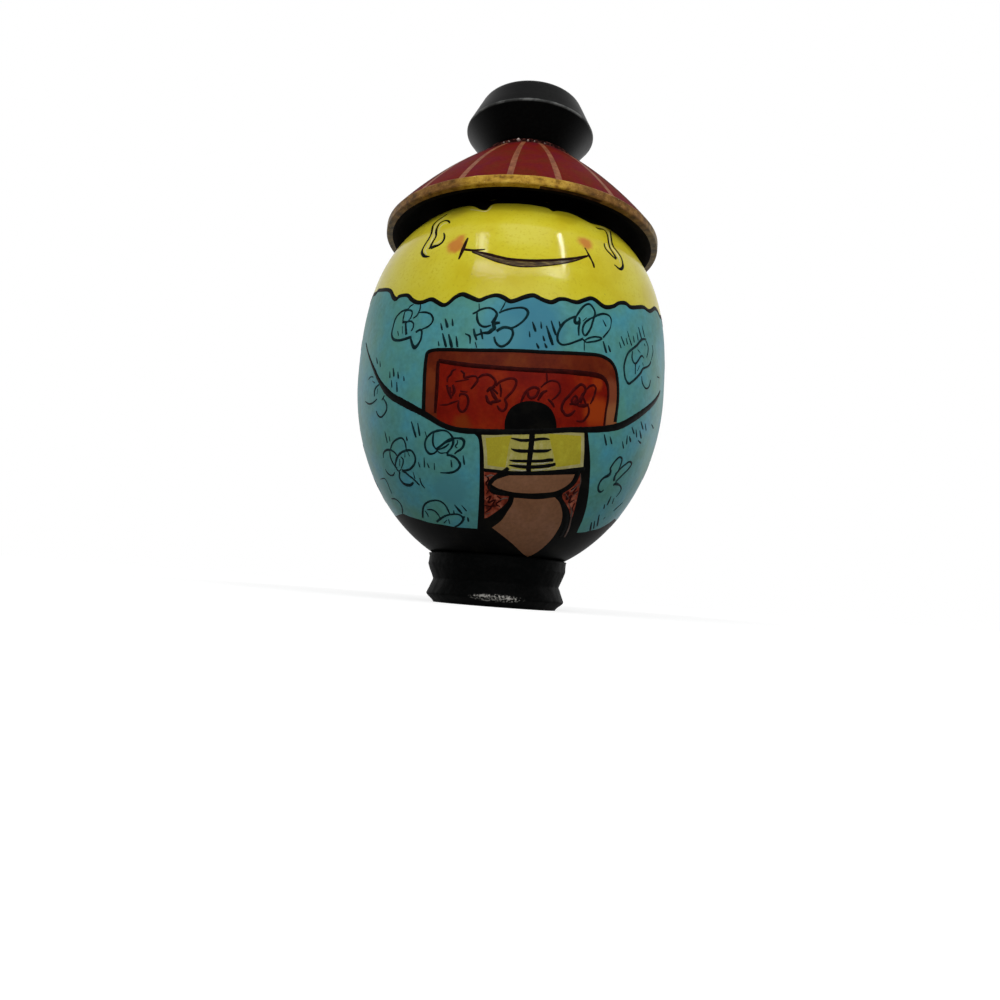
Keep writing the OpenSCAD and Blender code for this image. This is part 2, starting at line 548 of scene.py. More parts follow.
def mottled(name, shades, size, streak=(1, 1, 1), contrast=0.22, **finish):
    """Paint of three shades, from low to high, in soft blotches with finer ones in them."""
    look = Look(name, **finish)
    large = look.noise(size, detail=4, stretch=streak)
    base = look.ramp(large, list(zip((0.5 - contrast, 0.5, 0.5 + contrast), shades)))
    fine = look.noise(size * FINE_BLOTCH, stretch=streak)
    return look, look.mix(1.0, base, look.ramp(fine, [(0.3, 0.80), (0.7, 1.0)]), "MULTIPLY")


def plain_paint(name, shades, size, stains=(), bump=None, **finish):
    """A mottled paint with stains. It lies under lacquer, or else has a bump of its own, given
    as the size of its grains, its strength and its depth."""
    look, colour = mottled(name, shades, size, **finish)
    if bump:
        grains, strength, depth = bump
        look.bump(look.noise(grains), strength, depth)
    else:
        lacquered(look)
    return look.paint(stained(look, colour, stains))


def pale_paint(name, low_colour, high_colour):
    return plain_paint(name, (low_colour, low_colour, high_colour), 0.9, streak=(1, 1, 0.4),
                       specular=0.06, coat=0.08, coat_roughness=0.2)


def yellow_paint(stains, calm_place):
    """Yellow with ochre patches, dust specks and the stains given."""
    look = Look("yellow_paint", roughness=0.42, specular=0.04, coat=0.5)
    patches = look.noise(5.5, detail=4)
    colour = look.ramp(patches, [(0.3, (202, 184, 30)), (0.5, (210, 197, 44)), (0.72, (214, 204, 62))])
    colour = look.mix(look.step(look.noise(0.35), 0.52, 0.75), colour, (199, 182, 34))
    specks = look.math("MULTIPLY", look.step(look.noise(0.3, detail=1), 0.70, 0.76),
                       look.step(look.noise(3.0), 0.5, 0.6))
    colour = look.tinted(colour, specks, 0.55, (150, 128, 40))
    lacquered(look)
    sparkling(look, calm_place)
    return look.paint(stained(look, colour, stains))


def blue_paint(stains):
    """Blue in soft green and bright patches, with the stains given."""
    look, colour = mottled("blue_paint", ((82, 142, 130), (84, 152, 154), (76, 154, 174)), 4.5,
                           roughness=0.45, specular=0.05, coat=0.1, coat_roughness=0.14)
    green = look.step(look.noise(6.0, detail=2), 0.5, 0.7)
    colour = look.tinted(colour, green, 0.5, (86, 146, 126))
    lacquered(look)
    return look.paint(stained(look, colour, stains))


def coat_paint():
    """Dull red worked over with dark and pinkish dabs of a small brush."""
    look, colour = mottled("coat_paint", ((90, 32, 20), (134, 56, 37), (168, 98, 76)), 1.1,
                           contrast=0.16, specular=0.06)
    dabs = look.step(look.noise(0.5, detail=2), 0.56, 0.66)
    lacquered(look)
    return look.paint(look.tinted(colour, dabs, 0.6, (46, 12, 10)))


def mouth_paint():
    """A dry brown brush drawn along the mouth, with the yellow showing through."""
    look = Look("mouth_paint", specular=0.1, coat=0.25, coat_roughness=0.15)
    dry = look.noise(0.3, detail=4, stretch=(0.3, 0.3, 1.5))
    lacquered(look)
    return look.paint(look.ramp(dry, [(0.32, (44, 28, 12)), (0.52, (76, 58, 26)), (0.72, (120, 100, 50))]))


def ink_look(name, colour, faded):
    """Ink that is thinner in places."""
    look = Look(name, specular=0.03)
    lacquered(look)
    return look.paint(look.ramp(look.noise(0.7), [(0.45, colour), (0.75, faded)]))


def maroon_paint():
    """Maroon brushed from top to rim, with purple blotches, pale specks, painted shade at its turned-away
    edges and a crust of glue on top.
    """
    look = Look("maroon_paint", roughness=0.6, specular=0.02)
    blotches = look.noise(3.0, detail=4)
    colour = look.ramp(blotches, [(0.36, (107, 35, 16)), (0.48, (113, 26, 20)), (0.6, (108, 21, 33))])
    fine = look.noise(0.4, detail=4)
    colour = look.mix(1.0, colour, look.ramp(fine, [(0.3, 0.72), (0.68, 1.0)]), "MULTIPLY")
    specks = look.step(look.noise(0.28, detail=2), 0.68, 0.76)
    colour = look.tinted(colour, specks, 0.35, (150, 82, 62))
    # Painted shade: darker where the side turns away from the viewer.
    colour = look.tinted(colour, look.turned_away(0.86, 0.98), 0.6, (36, 14, 12))
    crust = look.math("MULTIPLY", look.step(look.height(), SLOPE_TOP[1] - 0.5, SLOPE_TOP[1] - 0.1),
                      look.step(look.noise(0.5), 0.45, 0.6))
    colour = look.tinted(colour, crust, 0.7, (136, 88, 80))
    look.bump(look.math("ADD", look.noise(0.6), look.math("MULTIPLY", fine, 0.5)), 0.3, 0.04)
    return look.paint(colour)


def gold_paint():
    """Gold brushed on the rim: bright at the front, and darker round the sides as painted shade, brown
    beside it and grey with some wear at the ends.
    """
    look = Look("gold_paint", specular=0.12, metallic=0.15)
    body = look.noise(1.1, detail=4, stretch=(1, 1, 1.6))
    bright = look.ramp(body, [(0.32, (126, 90, 26)), (0.46, (174, 134, 44)), (0.7, (204, 168, 66))])
    brown = look.ramp(body, [(0.3, (84, 58, 29)), (0.5, (132, 93, 46)), (0.72, (164, 122, 64))])
    shade_and_wear = look.ramp(body, [(0.3, (60, 49, 25)), (0.5, (104, 87, 44)), (0.75, (148, 124, 66))])
    # Further from the front the gold is painted darker as shade: brown, then grey with some wear, then brown
    # behind.
    drift = look.math("MULTIPLY", look.noise(5.0, detail=2), 8.0)
    away = look.math("ADD", look.vector("DISTANCE", look.mm, (-1.5, -HAT_R, HAT_LOW_Z)), drift)
    colour = look.mix(look.step(away, 9.0, 15.0), bright, brown)
    colour = look.mix(look.step(away, 22.0, 30.0), colour, shade_and_wear)
    colour = look.mix(look.step(away, 34.0, 42.0), colour, brown)
    # Painted shade: the flat under the rim is darker beside the front.
    under = look.math("MULTIPLY", look.fade(look.height(), HAT_LOW_Z + 0.02, HAT_LOW_Z + 0.2),
                      look.step(away, 10.0, 20.0))
    colour = look.tinted(colour, under, 0.3, (40, 26, 14))
    grains = look.step(look.noise(0.22, detail=2), 0.6, 0.7)
    colour = look.tinted(colour, grains, 0.5, (60, 42, 24))
    specks = look.step(look.noise(0.2, detail=1), 0.7, 0.76)
    look.bump(look.noise(0.2), 0.5)
    return look.paint(look.tinted(colour, specks, 0.5, (222, 196, 110)))


def turned_black(name, dark, light, roughness, specular, ring_mm, grit):
    """Black paint over turned wood, with the rings of the lathe in it and a little dust."""
    look = Look(name, roughness=roughness, specular=specular)
    rings = look.math("MULTIPLY", look.noise(ring_mm, detail=2, stretch=(0.02, 0.02, 1)), 0.6)
    grains = look.math("MULTIPLY", look.noise(0.3), grit)
    look.bump(look.math("ADD", rings, grains), 0.4)
    return look, look.ramp(look.noise(0.5, detail=4), [(0.4, dark), (0.75, light)])


def knob_paint():
    """Satin black, with a painted highlight in grey along the edge of the belt."""
    look, colour = turned_black("knob_paint", (1, 1, 1), (6, 7, 6), 0.4, 0.05, 0.35, 0.4)
    # A painted highlight: grey along the belt's edge, in patches and faintly all round.
    off = look.math("ABSOLUTE", look.math("SUBTRACT", look.height(), KNOB_BELT_Z))
    painted_glint = look.math("MULTIPLY", look.step(look.noise(2.2), 0.42, 0.62), 0.65)
    share = look.math("ADD", painted_glint, 0.25)
    return look.paint(look.mix(look.math("MULTIPLY", look.fade(off, 0.06, 0.26), share),
                               colour, (120, 122, 120)))


def foot_paint(scuff_and_highlight_place):
    """Dull black, grey at the front of the lip: scuffs there, and a painted highlight."""
    look, colour = turned_black("foot_paint", (1, 2, 2), (8, 8, 8), 0.6, 0.035, 0.5, 1.2)
    # Grey scuffs at the front of the lip, which also stand for a painted highlight there.
    away = look.vector("MULTIPLY", look.vector("SUBTRACT", look.mm, scuff_and_highlight_place), (0.27, 0.27, 2.0))
    near = look.fade(look.vector("LENGTH", away), 0.75, 1.15)
    ragged = look.math("MULTIPLY", look.step(look.noise(0.3, detail=4), 0.47, 0.62), 0.85)
    return look.paint(look.mix(look.math("MULTIPLY", near, ragged), colour, (172, 170, 164)))


def glue_look():
    look = Look("dried_glue", roughness=0.25)
    return look.paint(look.ramp(look.noise(0.15), [(0.4, (130, 104, 96)), (0.7, (196, 184, 178))]))


def dowel_wood():
    """Beech with its grain along the dowel."""
    look = Look("dowel_wood", roughness=0.6, specular=0.3)
    grain = look.noise(0.35, detail=4, stretch=(1, 1, 0.08), distortion=0.4)
    pores = look.step(look.noise(0.12, detail=2, stretch=(1, 1, 0.12)), 0.62, 0.7)
    colour = look.ramp(grain, [(0.3, (186, 142, 96)), (0.6, (206, 166, 118)), (0.8, (218, 182, 136))])
    look.bump(grain, 0.3)
    return look.paint(look.tinted(colour, pores, 0.5, (150, 106, 68)))


# The painted egg. Every place below is read in the photograph, in its pixels.

CHIN = [(378, 290), (389, 290), (393, 297), (396, 299), (399, 296), (407, 295), (411, 299), (416, 302),
        (422, 302), (431, 299), (437, 302), (443, 305), (448, 303), (455, 297), (462, 294), (468, 296),
        (475, 299), (480, 300), (487, 297), (496, 295), (503, 297), (510, 301), (516, 300), (524, 297),
        (533, 295), (538, 297), (544, 300), (552, 302), (559, 299), (566, 299), (572, 301), (578, 302),
        (584, 300), (591, 298), (596, 300), (602, 305), (607, 307), (614, 306), (619, 303), (626, 303),
        (631, 307), (639, 307), (644, 307), (650, 311), (655, 308)]
SKIRT = [(403, 514), (410, 517), (421, 520.3), (431, 523.3), (442, 525), (457, 527.5), (476, 529),
         (530, 534), (578, 533), (590, 531), (600, 528.5), (609, 523.5), (615, 519)]
MOUTH = [
    [(468, 249.8), (480, 251), (495, 255.3), (510, 258.3), (530, 259.6), (552, 259.4), (573, 257.8)],
    [(589, 255), (575, 260.8), (558, 264.3), (545, 265.8), (530, 266.8), (515, 265.8), (498, 261.8),
     (484, 256.8)],
]
# The lower edge of the black under the hat: black hair, and beside the right ear a painted shadow of the
# brim
HAIR_AND_SHADOW_EDGE = [(450, 209.2), (456, 207.6), (463, 206.2), (470, 205.6), (475, 206.6), (480, 209), (484, 210),
        (487, 209.4), (489, 207), (491.4, 204.8), (495, 203.4), (505, 203), (520, 203.4), (530, 204.3),
        (540, 205.8), (548, 207.8), (550.5, 209.4), (553, 211), (558, 210.6), (565, 211.6), (571, 213.2),
        (577, 215.8), (584, 219.4), (589, 222), (593, 223.6), (597, 224.6), (601, 225.4), (605, 226.8),
        (609, 229), (613, 231.8), (617, 234.8)]
HAIR_AND_SHADOW_RISE = 4.0
# Stains: a place in pixels, a size in millimetres and a colour
# Blushes on the cheeks, then two ochre patches just under the brim, darker as painted shade of the brim
BLUSHES_AND_BRIM_SHADE = [((455.5, 245), 1.55, (196, 114, 46)), ((459.5, 239), 0.9, (198, 126, 46)),
           ((586, 243), 1.25, (196, 116, 46)), ((457, 214), 1.5, (196, 180, 44)),
           ((567, 218), 1.7, (192, 174, 28))]
ORANGES = [((597, 412), 2.2, (154, 58, 16)), ((598, 384), 1.0, (146, 52, 14)),
           ((462, 424), 1.4, (120, 46, 12))]
BRIGHTS = [((530, 327), 5.5, (58, 125, 148)), ((500, 335), 3.5, (70, 136, 152)),
           ((450, 490), 3.0, (72, 134, 142))]
TANS = [((613, 414), 2.4, (148, 92, 56)), ((612, 392), 2.0, (128, 66, 42)), ((430, 380), 1.6, (116, 50, 24)),
        ((430, 402), 1.4, (106, 44, 26))]
# Where the lacquer is smooth, so that the window in it keeps its edges, and from how far off, in
# millimetres, its bumps begin and are full
CALM = (561, 249)
CALM_REACH = (2.0, 3.2)

COLUMN = [
    [(474, 434), (478, 438.5), (479.4, 450), (479.4, 480), (478.6, 505)],
    [(477, 531), (500, 545), (530, 548), (560, 545)],
    [(577, 533), (584, 517), (588.5, 497), (590.5, 470), (590, 451)],
    [(588, 431), (530, 428)],
]
BAND = [
    [(427, 352), (425, 372)],
    [(423, 413), (440, 424), (465, 431), (500, 432), (560, 431), (600, 429.5)],
    [(617, 424), (618.5, 389), (617, 373), (613, 361), (605, 356)],
    [(593, 354), (533, 352), (470, 349.5)],
]
PANEL = [
    [(439, 361), (437.5, 380)],
    [(436.5, 418), (445, 425), (465, 430), (500, 431), (560, 431)],
    [(605, 427), (608.5, 400), (608, 386), (605, 379)],
    [(598, 375), (560, 371.5), (500, 368)],
]
DOME = [
    [(504.5, 433), (505, 420), (510, 409), (519, 403), (530, 401), (542, 403), (551, 409), (556, 420)],
    [(557, 433)],
]
BIB_EDGE = [
    [(481.5, 435), (483.5, 452)],
    [(484, 468.5), (508, 471), (530, 471.5), (556, 470)],
    [(583.5, 467), (584.5, 450)],
    [(584.5, 433), (550, 432), (527, 432.5), (500, 435)],
]
BIB = [
    [(485.5, 438), (486.8, 452)],
    [(487.4, 465.4), (508, 468), (530, 469), (556, 467.4)],
    [(580.6, 464), (581.4, 450)],
    [(581.4, 436), (550, 434), (527, 434), (500, 436.8)],
]
BIB_MIDDLE = [
    [(512, 435), (509, 445), (507, 458)],
    [(505, 469.5), (530, 471.5)],
    [(557, 469.5), (554, 456), (551, 444)],
    [(549, 433.5), (530, 433)],
]
LEFT_COAT = [
    [(484, 472)],
    [(498, 472.6), (493, 477), (489, 481.4), (487, 486), (488.6, 491), (494, 494.6), (502, 496)],
    [(509, 496.4), (507.4, 501.6), (502, 507.4), (495, 512.8), (488, 517.6)],
    [(484.4, 518.6), (484.4, 495)],
]
RIGHT_COAT = [
    [(581, 473), (577, 482), (571, 488.5)],
    [(563, 493.5), (562.5, 498), (566, 504), (569.5, 511)],
    [(571.5, 520), (574, 513), (577, 500), (580, 486)],
]
POUCH_MOUTH = [
    [(491.6, 484.6), (496, 480), (503, 477.4)],
    [(509, 475.6), (540, 475.5)],
    [(575, 474.5), (572, 481), (566, 486.5), (556, 491.4), (545, 493), (530, 493.6), (515, 492.6),
     (505, 490.6), (497, 488)],
]
POUCH = [
    [(514, 498), (537, 499.5)],
    [(555, 497.5), (560, 503.5), (562.5, 514), (561, 524), (556, 533.5), (550, 541.5), (541, 549.8),
     (533, 555)],
    [(527.6, 557.4), (522.5, 553.8), (513, 544.6), (502.5, 536)],
    [(492, 528), (501.5, 520.5), (508, 511), (512.5, 504)],
]
EGG_PAINTS = ["yellow", "blue", "black", "band", "red", "coat", "pale", "brown", "bib", "cream", "mouth"]
# The skin ends a little short of both poles, where the foot and the hat hide it
SKIN_LOW = 3.0
SKIN_HIGH = EGG.end - 3.0
SKIN_COLUMNS = 168
SKIN_ROWS = 92
# How far even and odd rows of that grid are shifted, in columns
SKIN_SHIFTS = (-0.2, 0.7)


def painted_regions(chin, skirt):
    """The paint and outline of each region; a later one lies on those before it."""
    top = [[math.pi, SKIN_HIGH], [-math.pi, SKIN_HIGH]]
    bottom = [[math.pi, SKIN_LOW], [-math.pi, SKIN_LOW]]
    fields = [
        ("yellow", np.concatenate([chin, top])),
        ("blue", np.concatenate([chin, skirt[::-1]])),
        ("black", np.concatenate([skirt, bottom])),
        ("mouth", outline(MOUTH)),
        ("black", above(HAIR_AND_SHADOW_EDGE, HAIR_AND_SHADOW_RISE)),
    ]
    shapes = [("black", COLUMN), ("band", BAND), ("red", PANEL), ("black", DOME), ("pale", BIB_EDGE),
              ("bib", BIB), ("cream", BIB_MIDDLE), ("coat", LEFT_COAT), ("coat", RIGHT_COAT),
              ("brown", POUCH_MOUTH), ("brown", POUCH)]
    return fields + [(paint, outline(runs)) for paint, runs in shapes]


def turned_left(loop):
    """The loop as it is or backwards, so that it runs counter-clockwise."""
    x, y = loop[:, 0], loop[:, 1]
    area = np.sum(x * np.roll(y, -1) - np.roll(x, -1) * y)
    return loop if area > 0 else loop[::-1]


def skin_points(regions):
    """Points on the unrolled egg: the regions' outlines, then a staggered grid between them."""
    points, loops = [], []
    for _, loop in regions:
        start = len(points)
        points.extend((az * EGG_R, s) for az, s in turned_left(loop))
        loops.append(list(range(start, len(points))))
    edge = math.pi * EGG_R
    for i, s in enumerate(np.linspace(SKIN_LOW, SKIN_HIGH, SKIN_ROWS)):
        points.extend([(-edge, s), (edge, s)])
        shift = SKIN_SHIFTS[i % 2]
        points.extend((edge * (2 * (k + shift) / SKIN_COLUMNS - 1), s) for k in range(1, SKIN_COLUMNS))
    return points, loops


def joined_at_the_back(az, s):
    """For each point its own number, or that of its twin across the seam at the back."""
    twins = {round(float(h), 4): i for i, (a, h) in enumerate(zip(az, s)) if a > math.pi - NEAR}
    return [twins.get(round(float(h), 4), i) if a < -math.pi + NEAR else i
            for i, (a, h) in enumerate(zip(az, s))]


def egg_skin(regions, looks):
    """One closed skin, cut along the edges of the painted regions."""
    points, loops = skin_points(regions)
    flat, _, triangles, _, _, sources = delaunay_2d_cdt([Vector(p) for p in points], [], loops, 0, NEAR)
    flat = np.array([tuple(p) for p in flat])
    az, s = flat[:, 0] / EGG_R, flat[:, 1]
    place, normal = EGG.place(az, s)
    twin = joined_at_the_back(az, s)
    number, kept, faces, paints = {}, [], [], []
    for triangle, source in zip(triangles, sources):
        corners = [twin[i] for i in triangle]
        for i in corners:
            if i not in number:
                number[i] = len(kept)
                kept.append(i)
        if len(set(corners)) == 3:
            faces.append([number[i] for i in corners])
            paints.append(EGG_PAINTS.index(regions[max(source)][0] if source else "yellow"))
    verts = [place[i] for i in kept]
    normals = [normal[i] for i in kept]
    for level, pole, paint in ((SKIN_LOW, 0.0, "black"), (SKIN_HIGH, EGG.end, "yellow")):
        rim = sorted((az[i], number[i]) for i in kept if abs(s[i] - level) < NEAR)
        way = 1 if pole else -1
        normals.append((0, 0, way))
        verts.append((0, 0, (float(EGG.height_at(pole)) - way * SKIN_INSET) * MM))
        for (_, a), (_, b) in zip(rim, rim[1:] + rim[:1]):
            faces.append((len(verts) - 1, a, b)[::way])
            paints.append(EGG_PAINTS.index(paint))
    piece = add_piece("egg_skin", verts, faces, [looks[name] for name in EGG_PAINTS], "egg_paint",
                      paints, normals)
    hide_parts("egg_body")


# Brushwork. A stroke is a width and its points; a point may have a width of its own instead.

HEM = [(365.6, 343, 1.4), (367.5, 352, 2.2), (371, 362.5, 3.2), (374.2, 370.5, 4.2), (377, 377, 4.6),
       (380.5, 383.5, 5.6), (385.5, 390.5, 7.2), (392, 396.6, 7.6), (400, 401.2, 7.6), (410, 406.6, 7.4),
       (420, 411.8, 6.6), (430, 417.6, 6.2), (440, 423.8, 5.6), (452, 428.6, 5.4), (467, 431, 5.6),
       (500, 432, 5.4), (540, 431.5, 5.4), (570, 429.8, 5.4), (590, 429.8, 6), (608, 428.6, 6.8),
       (621, 425.6, 7.4), (631, 420.4, 7.4), (640, 414.6, 7), (649, 407.6, 6.2), (655, 401.4, 5.2),
       (659, 395, 3.6), (660.6, 390.5, 1.6)]
PANEL_OUTSIDE = [(423.2, 411, 4.6), (423.5, 398, 4.4), (424.5, 372, 4.2), (426, 357, 4), (428.5, 351.5, 3.8),
                 (440, 349.5, 3.6), (470, 350, 3.6), (515, 350.5, 3.6), (545, 352, 3.8), (580, 353.5, 3.8),
                 (598, 355, 3.8), (606, 357.8, 3.8), (611.5, 361.8, 3.8), (614.8, 366.8, 3.8),
                 (616.8, 373, 3.8), (618.2, 385, 3.8), (618.3, 398, 3.8), (617.2, 410, 3.8),
                 (615.5, 422, 4.8)]
PANEL_INSIDE = [
    [(434.8, 413, 2.6), (435.6, 402, 3.8), (436.6, 388, 4), (437.3, 372, 4), (438, 361, 3.6)],
    [(438.2, 360.5, 4), (452, 362.8, 4.5), (470, 365.2, 4.5), (490, 367, 4.4), (510, 368.6, 4.4),
     (530, 369.8, 4.6), (560, 371.2, 4.8), (580, 373, 5.2), (595, 374.8, 5.2), (603.5, 378, 4.8),
     (607.4, 384, 3.8), (608.5, 392, 3.2), (608, 401, 3), (606.5, 409, 2.8), (605.4, 418, 2.8),
     (604.4, 427, 2.8)],
]
BUTTON_LINE = [
    [(532.4, 429.6, 6), (531.8, 440, 5.6), (530.8, 450, 5.4), (529.6, 460, 5), (528.8, 466, 5),
     (528.6, 472, 5)],
    [(511, 438.2, 0.8), (516, 439.3, 2.2), (522, 440.4, 3), (531, 440.2, 3), (541, 439, 3),
     (546, 438.9, 2.6), (549.8, 439.6, 1)],
    [(511, 448.8, 0.8), (515.5, 450.4, 2.8), (522, 451.2, 3.6), (531, 451.2, 3.2), (540, 451.2, 3.4),
     (547, 450.8, 3), (551.4, 449.4, 1)],
    [(509.5, 460.2, 0.8), (515, 461, 2.6), (531, 461.3, 3), (543, 461, 3.2), (549, 460.2, 3.8),
     (553.4, 460.2, 3)],
    [(508.8, 465.2, 1), (515, 466.2, 2.6), (523, 467, 3.6), (531, 467.2, 3.6), (543, 466.6, 3.8),
     (550, 465.6, 3.8), (555.8, 464.2, 3)],
    [(541, 429, 3), (543.5, 431.6, 3.6), (546, 431, 3)],
]
POUCH_LINES = [
    [(484, 470, 3.4), (508, 472.6, 3.6), (530, 473.2, 3.8), (556, 471.8, 3.8), (585, 469, 3.4)],
    [(508.4, 468, 3.6), (501.6, 473.8, 5), (494.6, 478, 4.4), (489.6, 483, 3.4), (490, 488.6, 3),
     (496, 492, 3), (505, 494.2, 3.4)],
    [(559, 497, 3.3), (565.7, 510.9, 4.6), (565.7, 525.3, 5.4), (560.9, 536.7, 4)],
    [(579.5, 471.5, 2.6), (577.2, 477.4, 3), (571.4, 485.1, 3), (561, 492.7, 2.6)],
]
COAT_LIGHTS = [
    [(572.6, 511, 1), (571, 520, 1.6), (568.6, 529.4, 2), (564.6, 537.4, 2)],
    (1.4, [(565.6, 493.6), (569, 498.6)]),
    (1.4, [(571, 492), (576, 487.4), (579.6, 484)]),
    (1.4, [(572.6, 497.4), (577.6, 492)]),
    (1.2, [(580.6, 474), (580.8, 482), (579.4, 488)]),
    (1.4, [(568.6, 503), (571.4, 510), (570.6, 517)]),
    (1.6, [(486, 477), (490.4, 475.4), (494, 476)]),
    (1.4, [(500, 500), (505, 498.4), (508, 498.6)]),
    (1.4, [(485.6, 514.6), (490, 513)]),
]
BIB_LIGHTS = [
    (1.3, [(511.6, 463.4), (519, 464.2), (527, 464.4)]),
    (1.3, [(532.6, 464.2), (541, 463.7), (549.4, 462.6)]),
    (1.5, [(510.6, 469.4), (518, 470.5), (526.4, 470.9)]),
    (1.5, [(532, 470.5), (541, 469.9), (551, 468.6)]),
]
COAT_SCRIBBLES = [
    (1.8, [(485, 475), (488.5, 479), (486, 484), (489.5, 488), (486.5, 494)]),
    (1.8, [(486, 499), (491, 496), (488, 503), (495, 500), (490, 509), (486, 512)]),
    (1.6, [(497, 496), (501, 500), (496, 504), (500, 507)]),
    (1.6, [(484.5, 505.5), (490, 506.5), (498, 506)]),
    (1.8, [(565, 495), (569, 492), (566.5, 500), (572, 495), (569, 503), (574.5, 500)]),
    (1.8, [(571, 490), (577, 487), (573, 494), (578.5, 491)]),
    (1.4, [(575, 503), (572.5, 509), (573.5, 512)]),
]
MOUTH_LINES = [
    [(464.5, 249.2, 3.2), (472, 249.9, 2.8), (479, 249.6, 2.2), (485, 249, 1)],
    [(476, 251, 1.6), (488, 253.8, 3), (500, 256.8, 3.1), (512, 259, 3), (530, 260.1, 2.9),
     (552, 259.8, 2.9), (573, 258, 2.7), (589, 255.2, 1.8)],
    [(472, 251.6, 1.6), (484, 256.6, 1.3), (498, 261.8, 1.3), (515, 265.8, 1.3), (530, 266.6, 1.3),
     (545, 265.6, 1.2), (560, 263.8, 1.3), (575, 260.6, 1.6), (588, 256, 1.2)],
    [(467.8, 237.5, 1.6), (465.5, 242.5, 3.4), (463.2, 248, 4), (461.3, 252.5, 3.6), (458.5, 259, 1.6)],
    [(585, 247.5, 1.4), (587.3, 251.5, 1.9), (589.3, 255.3, 3), (591.8, 260, 2.1), (593.7, 264, 2.6),
     (594.4, 267.5, 2)],
]
EARS = [
    [(446.6, 214, 2.2), (441.5, 217.5, 2.4), (436.5, 221, 2.3), (433, 225, 2.5), (431.8, 229.5, 2.8),
     (431, 233.5, 2.3), (428.5, 238.5, 2.3), (425, 244, 2.1), (422.3, 249, 2.3), (421.6, 252.5, 3.2),
     (423.5, 255.6, 3.6), (426.5, 256.3, 2.6), (429.2, 256.2, 1.4)],
    [(449.6, 222.8, 1.8), (448.5, 220.8, 2.4), (445.5, 220.2, 2.4), (441.5, 221.6, 2.3), (438.5, 224.3, 2.3),
     (436.7, 228, 2.5), (435.8, 231.5, 3.2), (436, 235, 2.4), (434.5, 238.5, 2.4), (432.3, 242, 2.6),
     (430.5, 246, 3.2), (429, 248.8, 2.4)],
    [(430.6, 247.6, 4.6), (434, 246.2, 4.2), (438, 244.8, 2.8), (441.5, 242.5, 2.6), (443.5, 239.5, 2.6),
     (444.3, 236, 2.3), (443.6, 232.5, 1.4)],
    [(610.6, 231, 2), (611.3, 236, 2.2), (612, 241, 2.2), (613.5, 246, 2.4), (616.5, 250, 2.4),
     (619.5, 254, 2.4), (621.7, 258, 2.3), (622.8, 262, 2.5), (623.3, 266, 3.2), (621.5, 268.8, 3.8),
     (619, 268.2, 2.8), (616.5, 266, 2), (614.5, 264.5, 1.2)],
    [(596, 227, 1.8), (599, 228.4, 2.8), (602.5, 228.8, 2.2), (605.5, 230.5, 2), (607.5, 234, 2),
     (608.3, 238, 2.2), (609, 243, 2.2), (610.5, 248, 2.3), (613, 252, 2.4), (615.5, 256, 3.2),
     (617, 258.3, 2.4)],
    [(604.5, 243, 1.4), (605, 246.5, 1.8), (607.5, 250.5, 2), (610.5, 253.5, 2.2), (613.5, 256.5, 2.6),
     (616.5, 259, 2.4)],
]
EAR_LIGHTS = [
    (1.6, [(470, 209), (477, 209.8), (484, 211), (488.8, 209.4), (492.4, 205)]),
    (2.2, [(444, 217.5), (438.5, 221.6), (435, 226), (433.6, 231), (433.2, 236), (430, 242), (426.6, 247),
           (424.6, 251), (426.5, 254)]),
    (1.8, [(447, 222.5), (443, 223.6), (439.6, 227), (438.4, 231)]),
    (2.4, [(433, 244), (437.5, 242.4), (441, 239)]),
    (2, [(600, 226.4), (605.5, 228.4), (609.2, 232.5), (610, 238), (610.6, 243), (612.5, 248),
         (616.5, 252.6), (619, 257.5), (620.4, 263)]),
    (1.8, [(606.5, 243), (607.5, 247), (611, 251.5)]),
]

UPPER_LEFT_FLOWER = [
    (2, [(413.5, 304), (410, 306), (408, 309)]),
    [(408, 309, 2.2), (402, 311, 2.4), (397.5, 315, 2.4), (394.5, 320, 2.4), (393, 326, 2),
     (391.7, 331, 2.4), (391.5, 336, 2.8), (393.5, 339.4, 3.2), (398, 340.2, 3.2), (404, 339, 3.4),
     (409.5, 337, 3.4)],
    [(410, 336, 2.6), (411, 341, 3), (412.5, 345.6, 4), (414.2, 347.4, 4.6), (416.5, 345.8, 4),
     (419.5, 341.5, 2.8), (421, 337, 2.6), (421.5, 332, 2.6), (420.5, 329.5, 2.8), (418, 330.5, 3),
     (415.5, 332, 2.4)],
    (2.3, [(418.5, 312.3), (424, 312), (429.5, 313.3), (432, 316), (432.7, 320), (430.5, 324), (426.5, 327),
           (420.5, 329.6)]),
    (2, [(420.3, 303), (420, 308), (418.5, 312), (416.5, 315.5), (413, 318)]),
    (2.3, [(404.8, 311), (403.4, 316), (402.4, 322)]),
    (2.1, [(405, 311), (409, 309.8), (411.6, 311), (411.8, 314), (410.5, 317.5), (408.2, 320.4)]),
    [(402, 321.8, 3.2), (406, 321.8, 2.6), (409.5, 321, 2.2), (412, 321.8, 2.2), (413.3, 324, 2.2),
     (412.8, 327.5, 2.2), (411, 330.8, 1.8)],
    [(405.3, 323, 2.6), (405.6, 329, 3.2), (406, 334.5, 3.6)],
    (1.4, [(402, 326), (402, 333.5)]),
    (2, [(397.4, 331), (398.2, 335.6)]),
]
